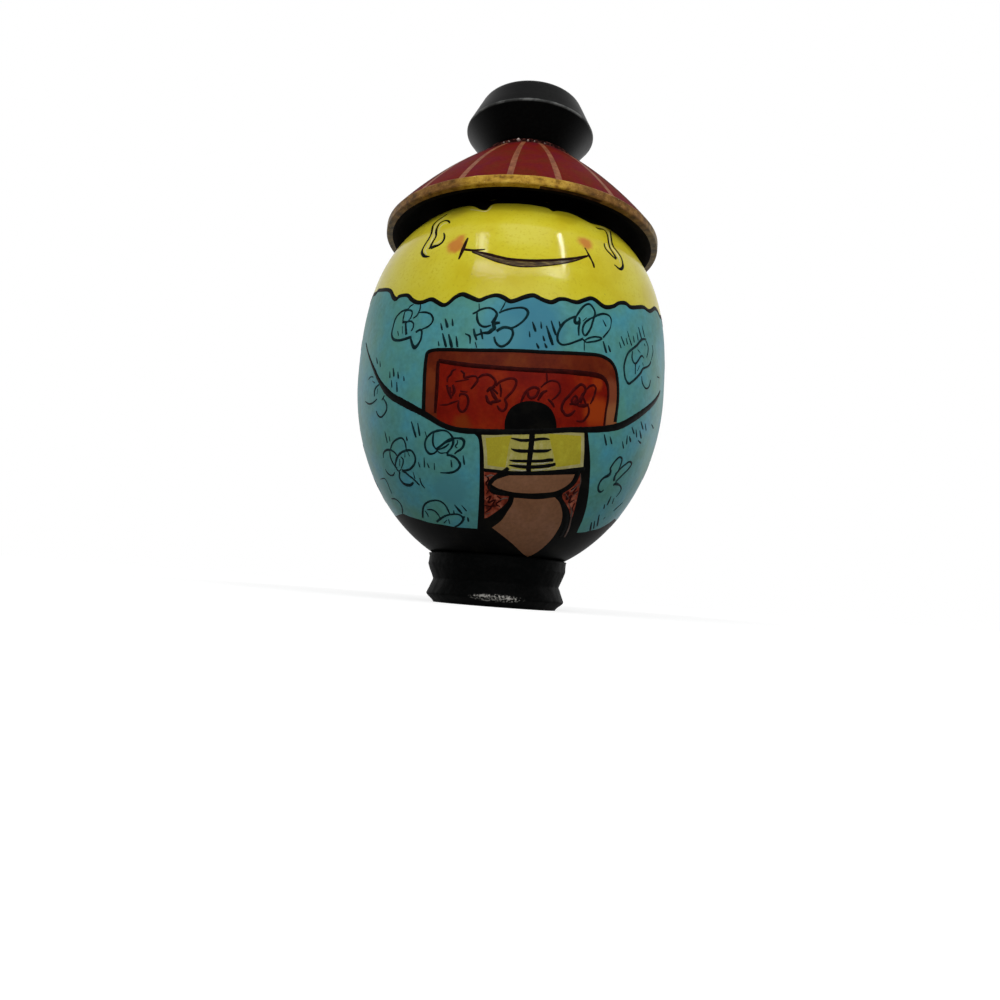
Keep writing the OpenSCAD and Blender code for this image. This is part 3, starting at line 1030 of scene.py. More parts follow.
UPPER_MIDDLE_FLOWER = [
    (2, [(479, 303.5), (479.2, 311)]),
    [(472.5, 313.6, 2.2), (476, 312, 2.4), (480, 309.6, 2.4), (486, 307.8, 2.3), (491, 308, 2.3),
     (495, 310.5, 2.4), (496.8, 313.8, 2.8), (495, 318.5, 3.6), (492, 323, 3.8)],
    (2.6, [(477, 312), (477, 318), (478.6, 323), (482, 326), (486, 326.5), (491, 325)]),
    [(499, 312.6, 2.2), (505, 310, 2.3), (512, 308.2, 2.2), (520, 307.4, 2.3), (525, 308.2, 2.8),
     (528, 311.6, 3.2), (527, 316, 2.6), (523, 321, 2.4), (517, 325.5, 2.4), (511.5, 328, 2.6)],
    (4.2, [(500, 322.6), (494.5, 323.4), (493, 328.5)]),
    (4.4, [(492.5, 323), (494.5, 328), (491.5, 329.5)]),
    [(496.5, 331, 3.2), (499.5, 329, 3.4), (503.5, 327.2, 3.2), (508, 327.4, 3.2), (512, 328.8, 3)],
    [(512, 328.8, 2.8), (513, 333, 2.8), (511.5, 338, 2.6), (508, 343, 2.8), (503, 346, 3),
     (499, 345.6, 2.8), (495.6, 342, 2.6), (494, 336.5, 2)],
    [(493, 329, 4.4), (488.5, 332.4, 4), (483, 332.8, 2.6), (478, 334.5, 2.4), (474, 335.6, 3)],
    (3, [(473.5, 328.5), (474.6, 334), (476.6, 340)]),
    (2.6, [(480.4, 328.5), (481.4, 333), (482.6, 339)]),
    (2.3, [(465, 333.5), (469.6, 336.2), (470, 343.5)]),
    (1.9, [(475, 342), (476.6, 347.5)]),
    (1.6, [(505.5, 301.5), (503.4, 306), (500.5, 310.5)]),
]
UPPER_RIGHT_FLOWER = [
    [(576, 316.4, 2.6), (571, 318, 2.6), (565, 321.6, 2.8), (561.5, 326, 3.2), (559, 331, 2.6),
     (557.5, 336, 2.8), (558.2, 341, 2.8), (561, 344, 2.6), (565, 344.6, 2.4), (571, 343.2, 2.4),
     (577, 341, 2.4), (583.5, 338.4, 2.6)],
    (2.5, [(576, 317), (578.5, 313), (582, 308), (586, 304.6), (590, 304), (593.6, 308), (595.4, 313),
           (594, 318), (592.6, 323), (591, 328), (588, 333), (585.4, 335.4), (583.4, 333), (583, 328),
           (585, 323), (589, 319.5), (594, 316.8)]),
    [(576, 316, 3), (575, 319.6, 3.4), (575.8, 322.6, 4.4), (578.6, 322.6, 3.6), (580, 319.6, 2.6),
     (579.2, 317, 2)],
    (2.6, [(580.5, 322), (579, 327), (579, 335.5)]),
    (1.5, [(583, 321), (587, 317.5)]),
    [(594, 316.8, 2.6), (599, 314.6, 2.6), (604, 313.6, 2.4), (609, 315.2, 2.2), (611.4, 319, 1.8),
     (611.4, 324, 1), (610, 329, 1.2), (607, 333.2, 2), (603.4, 337.4, 2.2)],
    (2.1, [(585, 340), (590, 337.6), (596, 336.6), (602.4, 338.2), (597, 340.8), (591, 341.8),
           (586.5, 342.4)]),
    (3.2, [(583.6, 339.5), (586.6, 342.4)]),
    (2, [(584.5, 341), (584.5, 350.5)]),
]
RIGHT_EDGE_FLOWER = [
    [(646.5, 339, 1.8), (642, 339.6, 3), (637.5, 345, 2.8), (632, 349.5, 2.8), (628.5, 353, 2.6),
     (626, 359, 2.6), (624.5, 366, 2.6), (624.8, 373, 2.6), (626, 379, 2.8), (629, 383.6, 3),
     (632, 382, 2.8), (636, 378.6, 2.8), (641, 373, 3), (643.4, 368.6, 2.6), (648, 366.6, 2.4),
     (650.6, 363.6, 2.4), (651.2, 361, 2)],
    (2.4, [(633, 351), (632.4, 357), (633.6, 361.5), (636, 363.5), (638.6, 360.5), (640.6, 357),
           (642.6, 355.6), (644.2, 358)]),
    (2.8, [(635.9, 363), (635.7, 374)]),
    (1.4, [(640, 365.5), (637.8, 371)]),
    (2, [(643, 362.5), (643.6, 365.5)]),
    (1.6, [(646, 340), (648.4, 346), (648.4, 352), (647, 357.5)]),
    (1.4, [(652.6, 345), (653.4, 352), (651.6, 360)]),
    (1.6, [(638, 349.5), (640.6, 352.5)]),
    (2, [(644.6, 343.5), (645.6, 346)]),
    (2, [(642, 376), (642.6, 382), (644.6, 386.6), (647, 388.6), (649.6, 386.4), (651, 380)]),
    (2.4, [(657.8, 376.8), (659.8, 377.8)]),
]
LEFT_EDGE_FLOWER = [
    (1.6, [(368, 379.5), (370.2, 376.8), (373, 377)]),
    (1.6, [(372, 381), (374.5, 383)]),
    (2.8, [(378.6, 384.6), (375.5, 387.4), (374, 391.5), (374, 396.5)]),
    (1.8, [(377.4, 388.5), (376.8, 394)]),
    (2.2, [(365, 401.4), (368, 403.8), (372, 403), (376.6, 399)]),
    (2.8, [(384, 395.5), (381.6, 399.8)]),
    (2.3, [(383, 398.5), (385.8, 403.5), (386.3, 409), (384, 414), (380.4, 417.2), (377.4, 415),
           (375.8, 411)]),
]
LOW_LEFT_FLOWER = [
    (2.3, [(390, 450), (391, 446), (393.5, 441.5), (398, 438.6), (401.6, 438.2), (404, 441), (405.5, 446),
           (406, 451.5)]),
    [(383, 458, 1.4), (383, 454, 1.8), (384.5, 451, 2.4), (388, 449.8, 2.8), (392, 450.8, 2.4),
     (395.5, 454, 2.2), (397.5, 457.5, 2.2)],
    (2.3, [(389.5, 451), (389.8, 456), (391.5, 461), (394.5, 466), (397.6, 470.4)]),
    (2.8, [(400, 452.5), (397, 457), (395.4, 462), (394.8, 467.5)]),
    (2, [(400.4, 457), (402.8, 459.5), (402.5, 464), (400.8, 468.4)]),
    (1.7, [(399.4, 459), (399.4, 466)]),
    (1.6, [(396.6, 467), (396.6, 470.2), (399, 471.2), (400.8, 469)]),
    (2.6, [(397, 457), (401, 452.6), (405, 450.8), (410, 450.3), (413, 453), (415, 458), (414.5, 463),
           (412, 467), (409, 469.6), (405, 470.6), (401.5, 470.4)]),
    (2, [(407.4, 451.5), (409.2, 456.5)]),
    (1.8, [(404.6, 452), (404.6, 457.5)]),
    [(399.4, 472, 2.6), (399, 476, 2.6), (400, 479.6, 2.8), (403, 483.5, 3.6), (407.5, 485.4, 4),
     (411, 484.8, 3.4), (413, 482.4, 2.4)],
    [(401.6, 470.4, 3.2), (405, 472.6, 3), (409, 476, 2.6), (413, 479, 2.4), (417, 483, 2.4),
     (419.4, 485.4, 2)],
    (2, [(419.4, 478), (421.2, 484), (424.6, 488.4)]),
    (2.1, [(385, 469.4), (387, 473), (390, 475.4), (393, 475), (394.2, 472.4)]),
]
LOW_MIDDLE_FLOWER = [
    (1.8, [(424.8, 431.5), (426.4, 437)]),
    [(437, 431, 2.4), (432, 432.5, 2.4), (428.5, 435.5, 2.2), (425.8, 439, 2.2), (424.6, 444, 2.4),
     (425.5, 449, 2.6), (428, 453, 3.2), (431, 454, 2.4), (434.5, 453, 2), (437, 450.5, 2.2)],
    (2.3, [(433.6, 431.6), (432.8, 437), (432.6, 442), (433.5, 446), (436.2, 449.8)]),
    [(436, 431, 2.8), (441, 430.3, 2.2), (446, 431, 2), (450, 434, 2), (452.4, 438, 2.8), (453, 443, 3),
     (451, 448, 2.2), (448.5, 451, 2.2), (446.5, 454, 3.2)],
    [(436.5, 449.4, 3.4), (440.5, 446, 2.6), (445, 442.5, 3), (449.5, 440.2, 4), (452.6, 439.4, 3.6)],
    (2, [(438, 449.6), (442, 448.4), (446, 446.2), (449, 443.6)]),
    (1.6, [(437, 450.5), (440, 453.2), (446, 452.8)]),
    (4.4, [(446.4, 455), (450.6, 455.4)]),
    [(452.6, 438.4, 2), (458, 438.3, 2.2), (462, 439, 3.2), (464, 442, 3.2), (463, 446.5, 2.6),
     (460.5, 449.5, 2.6), (457, 451.6, 2.2), (454.4, 454, 1.6)],
    (1.7, [(457, 440), (457.4, 443), (455, 446.4), (457.2, 448)]),
    [(450.6, 455.6, 3.2), (455, 457.6, 2.6), (458.5, 461.5, 2.8), (460, 465.5, 3), (457.5, 469.5, 2.6),
     (453.5, 472, 2.6), (448, 473, 2.4), (440, 472.8, 1)],
]
HEM_FLOWER = [
    [(422.3, 518, 2.4), (422.5, 511, 2.8), (423.6, 506, 2.4), (427, 502.6, 2.4), (432, 500.8, 2.2),
     (438, 500.8, 2.2), (442, 502.6, 2.2), (445.5, 506, 2.2), (447.6, 510, 2.4), (449.5, 514, 1.6)],
    (2.3, [(427, 510), (431, 509.8), (435, 511.6), (438, 515), (440, 518.4)]),
    (1.9, [(424.6, 511), (427, 514), (428.4, 517)]),
    [(436.6, 522, 2.8), (441, 518.5, 2.8), (446, 515.8, 2.4), (452, 514.6, 2.2), (458, 514.6, 2.2),
     (461.5, 516.6, 2.6), (463.2, 519, 3.2), (461.6, 522.5, 2.6), (458, 525.6, 2.4), (454.6, 527, 1.8)],
    (2, [(443.6, 523.4), (446.6, 520.4)]),
    (2, [(448.4, 519.6), (449.6, 524)]),
]
LOW_EDGE_FLOWER = [
    [(391, 499, 1.6), (394, 499, 2), (397.5, 501, 2.2), (400.5, 504.6, 2.4), (402, 509, 2.4),
     (402, 513.6, 2.2)],
    (1.5, [(380, 479.5), (384, 478.6), (387, 483), (389.5, 489), (391.5, 494)]),
]
LOW_RIGHT_FLOWER = [
    [(604, 490, 1.4), (601.4, 492.2, 2.4), (599, 491, 2.8), (598.6, 487, 2.8), (600.5, 482, 2.8),
     (604, 478, 3.2), (609, 475.4, 4.6), (611, 472, 3.2), (610.6, 469, 2.6), (612.4, 465.6, 2.6),
     (616, 460.6, 2.6), (620, 457.2, 2.6), (622.4, 459, 2.6), (621.4, 464, 2.4), (619.5, 469, 2),
     (617.6, 473, 1.6)],
    [(614.4, 481, 4), (615.4, 476, 3.2), (620, 469.6, 2.6), (625, 465.2, 2.4), (630, 461.8, 2.6),
     (632, 464, 2.8), (629, 469, 2.4), (624, 474, 2.4), (619, 479, 2.4), (616, 482, 2.8)],
    (3, [(615.5, 474), (618.5, 472)]),
    [(613.6, 485.4, 2.4), (616, 484, 4), (620, 485.4, 2.2), (621.6, 489, 2.2), (619.4, 493.6, 1.8),
     (616.6, 497, 1.4)],
]
PANEL_FLOWERS = [
    (2.4, [(447, 382), (447.5, 377.5), (450.5, 374.5), (452, 371), (455.6, 369)]),
    (2.5, [(460.5, 370.5), (464, 373.6), (464, 377.6), (470, 376.2), (476, 376)]),
    (3.6, [(446.6, 385), (448.6, 391.6), (451.4, 398.5)]),
    (3.6, [(452.6, 384.6), (454, 390.4), (452, 396)]),
    (3.4, [(449.6, 387), (451, 393)]),
    (1.8, [(455, 381.6), (462, 380.4), (469, 379)]),
    (2.2, [(460, 391), (467.4, 392)]),
    (2.6, [(459, 396.6), (460.6, 394), (465.4, 394.4), (467.8, 398), (468, 403), (466.4, 408),
           (463.4, 411.4), (460, 410.8), (458, 406), (458.8, 400.6)]),
    (2, [(439.5, 405), (447, 404.5), (452, 402.6), (458.4, 400.6)]),
    (2.6, [(476, 376), (477.6, 380), (474.6, 384.5), (470.8, 389)]),
    (2.7, [(478, 378), (482, 375.2), (487, 374.4), (491, 376), (495, 380), (495.4, 383.4), (492, 388)]),
    (3.6, [(487, 392), (489.4, 389), (495.4, 386.6)]),
    (3.6, [(486, 395), (488, 401.5), (492, 404.6)]),
    (4, [(491, 390), (494, 396), (498.4, 402)]),
    (3.6, [(493, 389), (498, 394)]),
    (3.4, [(489, 402.6), (495.5, 401.6), (501, 400.4)]),
    (2.6, [(496, 386), (499.5, 382), (504, 380), (509, 378.4), (514, 378.6), (516.4, 381.4), (515.4, 386),
           (512.6, 391), (508.6, 395.4), (505, 399.4), (506.6, 404), (505.8, 408.4), (502.8, 411),
           (499.5, 409.4), (497, 405.4)]),
    (2.4, [(500, 384), (501, 391), (500.6, 397)]),
    (2.8, [(521, 402.4), (523, 397.5), (526, 392), (530, 388.6), (535, 387.2), (538.8, 389.6),
           (537.6, 393.6), (535.4, 396.8), (531, 398), (528.2, 395.4), (528.2, 391.4)]),
    (3.2, [(538, 400.4), (540.5, 396), (543, 392.6), (547.4, 390.4)]),
    (2.3, [(546.6, 371), (547, 377), (547.5, 382.6)]),
    (2.1, [(541, 387.4), (545, 383.6), (549, 381.2), (553, 380.6), (558, 382.2), (560, 386), (560.4, 391),
           (557, 396), (552, 400)]),
    (2.8, [(548, 399), (552, 403), (554.6, 407.6)]),
    (3, [(564.6, 414), (562, 410), (562.4, 405), (565, 400), (569, 396), (573, 391), (577, 387.2),
         (581, 384.4), (584.4, 386), (585.8, 389.6), (584, 394), (582, 399), (581, 403.4)]),
    (3.4, [(575, 395), (577.4, 398.4), (574, 403), (569.6, 404.4)]),
    (3, [(583, 393), (580, 400), (576, 404.4), (572, 401), (574.4, 396)]),
    (4, [(577.6, 405.4), (584, 405.8), (589, 404.4)]),
    (3.6, [(583.4, 397), (586, 403.6)]),
    (2.5, [(587, 389.4), (590, 386.2), (594, 385.2), (596.2, 388.4), (595.2, 393), (593.2, 399),
           (590.6, 404)]),
    (3, [(563.4, 410), (565, 414.4), (568.6, 415.4), (572.4, 413.4), (575.4, 410)]),
    (2.6, [(587.4, 404.6), (589.2, 409), (588.6, 414), (586, 418.4), (582.6, 421.4), (576.6, 421)]),
]
# Short marks: x and y of the top, x and y of the foot, and the width
TICKS = [(440.5, 323, 442, 330, 2.2), (445, 318.5, 447.5, 327.5, 3.2), (452, 318.5, 452.7, 326, 2.2),
         (442.3, 333, 446, 347, 3), (448.5, 334, 451.7, 347.5, 3.6), (456, 336, 457.3, 347, 2.6),
         (438, 341, 438.8, 346, 1.8), (392.8, 368, 393.6, 376.5, 2.8), (389.5, 371.5, 389.5, 378, 2),
         (397.5, 371.5, 398, 378.5, 2.4), (403.4, 376, 403.8, 381, 1.8), (391, 380, 391.5, 387.5, 2),
         (396.4, 382, 396.7, 392, 2.6), (376, 357.5, 377, 363.5, 2), (379.5, 361, 380, 367, 1.6),
         (532.5, 321.5, 535.8, 331.5, 2.8), (541, 321.5, 541.6, 328.5, 1.8), (529.4, 331, 530, 337, 1.6),
         (546.5, 325.5, 553, 345, 3.4), (551.3, 320.5, 556, 335, 2.8), (559.3, 321, 560.6, 327, 2.2),
         (543, 335.5, 544.7, 341, 2.2), (536.5, 343, 539, 348.5, 2.4), (544.8, 343, 547, 348, 2.6),
         (603.4, 341, 606.8, 353, 3), (608.5, 345, 610.8, 352, 2.6), (603, 319.5, 606.5, 326.5, 1.8),
         (621.3, 336, 625, 345.5, 2.2), (626.5, 338, 628, 344.5, 1.6), (629.6, 338, 632.2, 345.5, 2.2),
         (627.8, 331, 629.5, 337.5, 1.4), (633.5, 335.5, 634.7, 342.5, 1.8),
         (637.3, 332.5, 638.6, 340.5, 1.8), (638.8, 327, 642.3, 340, 2.6), (642.3, 325.5, 645, 337, 1.8),
         (619.5, 341.5, 621.5, 348, 1.6), (411, 421.5, 415.7, 437.5, 3), (417.4, 423, 419.5, 436, 2.4),
         (384.4, 431.5, 387, 443, 2.2), (388.8, 436, 389.6, 441.5, 1.6), (406, 436.5, 406.8, 441, 2.4),
         (412.8, 472, 414.8, 479, 1.6), (423.8, 457.5, 424.2, 467.5, 1.8), (427, 463.5, 429, 468, 1.8),
         (434, 463, 434.2, 470, 1.4), (418, 462, 419.6, 467.5, 1.8), (454.3, 505, 461.8, 514, 3),
         (453.5, 510.5, 454, 514.5, 1.8), (461.5, 505.5, 466.5, 511.5, 1.8), (462, 517.2, 465, 517.2, 2.4),
         (467.6, 517.5, 468.3, 522, 2.4), (450.8, 460, 451.6, 467.5, 2), (463, 455.5, 464.2, 465, 2.2),
         (604.5, 434.5, 606.8, 445.5, 2.6), (610.3, 436.5, 612.2, 444, 2.2), (627.6, 435.5, 627, 444.5, 2.4),
         (622.8, 441.5, 624, 448.5, 2), (629.8, 436.5, 631.2, 442, 2.8), (632.3, 427, 634.7, 434, 2.4),
         (636.4, 429.5, 637.2, 437.5, 2), (640.2, 430.5, 641.7, 438.5, 2.8),
         (641.3, 421.5, 643.6, 429.5, 2.6), (645.5, 423.5, 646.6, 430.5, 1.8), (652, 424.5, 654, 428.5, 2),
         (638.5, 440.5, 641.5, 443.5, 2), (591.8, 522.5, 590.5, 531, 3), (599.5, 515, 597.5, 526.5, 2.8),
         (595, 521, 594, 529, 2.2), (603.5, 519.5, 605.5, 517.5, 1.8), (623, 503, 614, 511, 2),
         (611.5, 496.5, 607.5, 505.5, 3), (605, 504.5, 604.3, 509, 2.4), (614.5, 498, 612.5, 504, 2)]
# The flowers that show whole are drawn again behind; the others are cut off by an edge
WHOLE_FLOWERS = [UPPER_LEFT_FLOWER, UPPER_MIDDLE_FLOWER, UPPER_RIGHT_FLOWER, LOW_LEFT_FLOWER,
                 LOW_MIDDLE_FLOWER, LOW_RIGHT_FLOWER]
CUT_FLOWERS = [RIGHT_EDGE_FLOWER, LEFT_EDGE_FLOWER, HEM_FLOWER, LOW_EDGE_FLOWER]
# Waves of the chin line and the skirt behind, their swing, and the chin line's width
CHIN_WAVES = (26, 0.45)
SKIRT_WAVES = (5, 0.3)
CHIN_WIDTH = 0.64
CHIN_UNEVEN = 0.16
# The flowers' lines against those read, the share of its width that a plain stroke has at its
# ends, and how unsteady the hand is
FLOWER_WIDTH = 0.94
STROKE_END = 0.6
UNSTEADY = 0.12
# Behind: the height and number of flowers in each row, and the azimuths in degrees between which
# they lie; then the number of clusters of short marks and the heights between which those lie
BACK_ROWS = [(38.0, 9), (30.0, 9), (22.2, 8), (15.2, 6)]
BACK_START = 78
BACK_END = 282
BACK_CLUSTERS = 60
BACK_HEIGHTS = (14.5, 41)
# How far a flower behind strays, in degrees of azimuth, in millimetres of height and in radians of
# turn, and the least and greatest size of its copy
STRAY_DEGREES = 3
STRAY_MM = 0.8
STRAY_TURN = 0.5
COPY_SIZES = (0.85, 1.0)
# The short marks in front: how far down they are full, and their widths at the top and the foot, as
# shares
TICK_FULL = 0.65
TICK_TOP = 0.4
TICK_FOOT = 0.7
# The short marks behind: their number in a cluster, their lengths and widths in millimetres, their
# spacing and lean in radians of azimuth, how far they stray from it and from their height, and the
# shares of their width that they have in the middle and at the foot
CLUSTER_COUNTS = (2, 4)
BACK_LENGTHS = (0.6, 1.7)
BACK_WIDTHS = (0.14, 0.32)
BACK_SPACING = 0.035
BACK_LEAN = 0.012
BACK_STRAY = 0.008
BACK_STRAY_MM = 0.3
BACK_MIDDLE = 0.9
BACK_FOOT = 0.3


def joined(parts):
    """Vertices and faces of several meshes as those of one."""
    verts, faces = [], []
    for part_verts, part_faces in parts:
        start = len(verts)
        verts.extend(part_verts)
        faces.extend(tuple(start + i for i in face) for face in part_faces)
    return verts, faces


def ribbon(line, height):
    """Vertices and faces of one closed, low ribbon along points of azimuth, length and width."""
    az, s, width = line.T
    top, normal = EGG.place(az, s, height)
    base, _ = EGG.place(az, s, -INK_DEPTH)
    across = np.cross(normal, np.gradient(top, axis=0))
    across /= np.maximum(np.linalg.norm(across, axis=1), TINY)[:, None]
    half = across * (width / 2 * MM)[:, None]
    corners = [base - half, top - half * RIBBON_TOP, top + half * RIBBON_TOP, base + half]
    last = 4 * (len(line) - 1)
    faces = [(0, 1, 2, 3), (last + 3, last + 2, last + 1, last)]
    for a in range(0, last, 4):
        for k in range(4):
            n = (k + 1) % 4
            faces.append((a + k, a + 4 + k, a + 4 + n, a + n))
    return np.stack(corners, 1).reshape(-1, 3), faces


def draw(name, look, lines, rise=0.0):
    """A piece of painted lines; the rise keeps lines that cross at different heights."""
    add_piece(name, *joined(ribbon(line, INK_HEIGHT + rise) for line in lines), [look], "egg_paint")


def stroke_line(stroke, wide=1.0):
    """Azimuth, length and width along a stroke, drawn by a slightly unsteady hand."""
    if isinstance(stroke, tuple):
        width, points = stroke
        widths = [width * (STROKE_END if i in (0, len(points) - 1) else 1) for i in range(len(points))]
        stroke = [(x, y, w) for (x, y), w in zip(points, widths)]
    line = resample(smooth(stroke), STROKE_STEP)
    az, s = EGG.from_pixels(line[:, :2])
    waver = [1 + UNSTEADY * noise.noise(Vector((x * 0.5, y * 0.5, 0))) for x, y, _ in line]
    return np.stack([az, s, line[:, 2] * PIXEL_MM * wide * np.array(waver)], 1)


def lines_of(strokes, wide=1.0):
    return [stroke_line(stroke, wide) for stroke in strokes]


def tick(x, y, foot_x, foot_y, width):
    """A short mark of the brush, pointed at its top and full near its foot."""
    full_x = x + (foot_x - x) * TICK_FULL
    full_y = y + (foot_y - y) * TICK_FULL
    return [(x, y, width * TICK_TOP), (full_x, full_y, width), (foot_x, foot_y, width * TICK_FOOT)]


def copied(lines, az, s, turn, size):
    """The lines laid elsewhere on the egg, turned and scaled round their middle."""
    together = np.vstack(lines)
    az_old, s_old = together[:, 0].mean(), together[:, 1].mean()
    r_old, r_new = EGG.radius_at(s_old), EGG.radius_at(s)
    out = []
    for line in lines:
        u = (line[:, 0] - az_old) * r_old * size
        v = (line[:, 1] - s_old) * size
        across = u * math.cos(turn) - v * math.sin(turn)
        along = u * math.sin(turn) + v * math.cos(turn)
        out.append(np.stack([az + across / r_new, s + along, line[:, 2]], 1))
    return out


def strayed(reach):
    """A random distance up to the reach either way."""
    return random.uniform(-reach, reach)


def flowers_behind(flowers):
    """The photographed flowers again on the jacket's sides and back, in staggered rows."""
    lines = []
    for z, count in BACK_ROWS:
        for k in range(count):
            share = (k + 0.5) / count
            az = math.radians(BACK_START + (BACK_END - BACK_START) * share + strayed(STRAY_DEGREES))
            s = float(EGG.length_at(z + strayed(STRAY_MM)))
            flower = random.choice(flowers)
            lines += copied(flower, az, s, strayed(STRAY_TURN), random.uniform(*COPY_SIZES))
    return lines


def ticks_behind():
    """Clusters of short marks between those flowers."""
    lines = []
    for _ in range(BACK_CLUSTERS):
        az = math.radians(random.uniform(BACK_START, BACK_END))
        s = float(EGG.length_at(random.uniform(*BACK_HEIGHTS)))
        for k in range(random.randint(*CLUSTER_COUNTS)):
            length = random.uniform(*BACK_LENGTHS)
            at = az + k * BACK_SPACING + strayed(BACK_STRAY)
            top = s + strayed(BACK_STRAY_MM)
            width = random.uniform(*BACK_WIDTHS)
            lines.append(np.array([(at, top, width),
                                   (at + BACK_LEAN / 2, top - length / 2, width * BACK_MIDDLE),
                                   (at + BACK_LEAN, top - length, width * BACK_FOOT)]))
    return lines


# Hat

# Where each photographed stripe meets the rim, in pixels
STRIPES_LOW = [(425.5, 190), (461.8, 177.3), (510, 173.6), (559, 179), (610, 197.3)]
STRIPES = 16
STRIPE_LOW_W = 0.84
STRIPE_TOP_W = 0.6
STRIPE_COLUMNS = 2
FIELD_COLUMNS = 14
# How far the brush wavered along a stripe's edge
STRIPE_WAVER = 0.05
# The neck's outline: how far inside its radius and below the hat's top each point lies
NECK_POINTS = [(0.0, NECK_H - 0.06), (0.05, 0.1), (0.2, 0.0)]
# Rows along the hollow's ceiling and wall, the flat under the rim and the gold's outer face
CEILING_ROWS = 6
WALL_ROWS = 8
FLAT_ROWS = 4
GOLD_ROWS = 3
# The bare part of the flat under the rim, in degrees of azimuth
BARE_FLAT = (4, 28)
# How many quarters of that flat, from its inner edge, the black of the hollow covers
FLAT_BLACK = 2
# How far the gold laps up the side, how uneven it is and where it stops, as shares of a row
GOLD_LAP = 0.08
GOLD_UNEVEN = 0.3
GOLD_LAP_MOST = 0.4
HAT_PAINTS = ["hollow", "gold", "bare", "maroon", "stripe", "neck"]


def stripe_azimuths():
    """The stripes' azimuths: the photographed ones, then the rest spaced evenly behind them."""
    front, _ = HAT_SIDE.from_pixels(STRIPES_LOW)
    gap = (2 * math.pi - (front[-1] - front[0])) / (STRIPES - len(front) + 1)
    rest = [front[-1] + gap * (k + 1) for k in range(STRIPES - len(front))]
    return list(front) + rest


def hat_columns(stripes, r, share):
    """The azimuth of every column of points at a radius; share is 0 at the rim and 1 at the top."""
    around = max(r, HAT_TOP_R)
    half = (STRIPE_LOW_W + (STRIPE_TOP_W - STRIPE_LOW_W) * share) / 2 / around
    azimuths = []
    for a, b in zip(stripes, stripes[1:] + [stripes[0] + 2 * math.pi]):
        for k in range(STRIPE_COLUMNS):
            azimuths.append(a - half + 2 * half * k / STRIPE_COLUMNS)
        for k in range(FIELD_COLUMNS):
            azimuths.append(a + half + (b - a - 2 * half) * k / FIELD_COLUMNS)
    return [a + STRIPE_WAVER / around * noise.noise(Vector((a * 9, share * 4, 0))) for a in azimuths]


def hat_profile():
    """Radius, height and paint of the ring bands, from the seat on the egg up to the knob."""
    ceiling_z = HAT_LOW_Z + HOLLOW_DEPTH
    seat = [(r, z) for r, z in dish_points() if z > ceiling_z]
    ceiling = between(seat[-1], (HOLLOW_TOP_R, ceiling_z), CEILING_ROWS)
    flat_in = (HAT_R - RIM_W, HAT_LOW_Z)
    corner = (HAT_R, HAT_LOW_Z)
    wall = between(ceiling[-1], flat_in, WALL_ROWS)
    low_round = rounded(flat_in, corner, HAT_EDGE, RIM_ROUND)
    side = bow(HAT_EDGE, SLOPE_TOP, HAT_SWELL)
    top_round = rounded(corner, HAT_EDGE, side[1], RIM_ROUND)
    flat = between(flat_in, low_round[0], FLAT_ROWS)
    neck = [(NECK_R - inset, HAT_TOP_Z - depth) for inset, depth in NECK_POINTS]
    bands = {
        "hollow": seat + ceiling + wall + flat[:FLAT_BLACK],
        "flat": flat[FLAT_BLACK:],
        "gold": low_round[1:] + between(low_round[-1], top_round[0], GOLD_ROWS) + top_round[1:],
        "side": side[1:],
        "neck": neck + [(0.0, HAT_TOP_Z)],
    }
    return [(point, band) for band, points in bands.items() for point in points]


def hat_paint(band, column, azimuth):
    """The paint of a face in a band of the hat, by its column and its azimuth in degrees."""
    if band == "side":
        return "stripe" if column % (STRIPE_COLUMNS + FIELD_COLUMNS) < STRIPE_COLUMNS else "maroon"
    if band == "flat":
        return "bare" if BARE_FLAT[0] < (azimuth + 180) % 360 - 180 < BARE_FLAT[1] else "gold"
    return band


def hat_skin(looks):
    """The hat as one closed turned skin, whose faces follow the stripes and the gold edge."""
    stripes = stripe_azimuths()
    profile = hat_profile()
    rings = []
    for (r, z), _ in profile:
        share = max(0.0, (z - HAT_EDGE[1]) / (HAT_TOP_Z - HAT_EDGE[1])) if r < HAT_R else 0.0
        rings.append([(r, a, z) for a in hat_columns(stripes, r, share)])
    edge_row = max(i for i, (_, band) in enumerate(profile) if band == "gold")
    rings[edge_row] = [painted_edge(p, q) for p, q in zip(rings[edge_row], rings[edge_row + 1])]
    verts, faces = turned_mesh(rings)
    paints = [HAT_PAINTS.index(hat_paint(band, k, math.degrees(azimuth)))
              for _, band in profile[1:] for k, (_, azimuth, _) in enumerate(rings[1])]
    piece = add_piece("hat_shell", verts, faces, [looks[name] for name in HAT_PAINTS], "hat_paint", paints)
    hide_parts("hat")


def painted_edge(edge, side):
    """A point of the gold's upper edge, moved a little up the side as the brush went."""
    share = GOLD_LAP + GOLD_UNEVEN * noise.noise(Vector((edge[1] * 6, 0, 3)))
    share = min(max(share, 0.0), GOLD_LAP_MOST)
    return tuple(e + (p - e) * share for e, p in zip(edge, side))


# Beads of dried glue: degrees of azimuth and size in millimetres
BEADS = [(-30.3, 0.15), (-24, 0.12), (-12.7, 0.28), (-2, 0.16), (5.5, 0.12), (17, 0.11), (140, 0.22),
         (147, 0.12), (215, 0.17)]


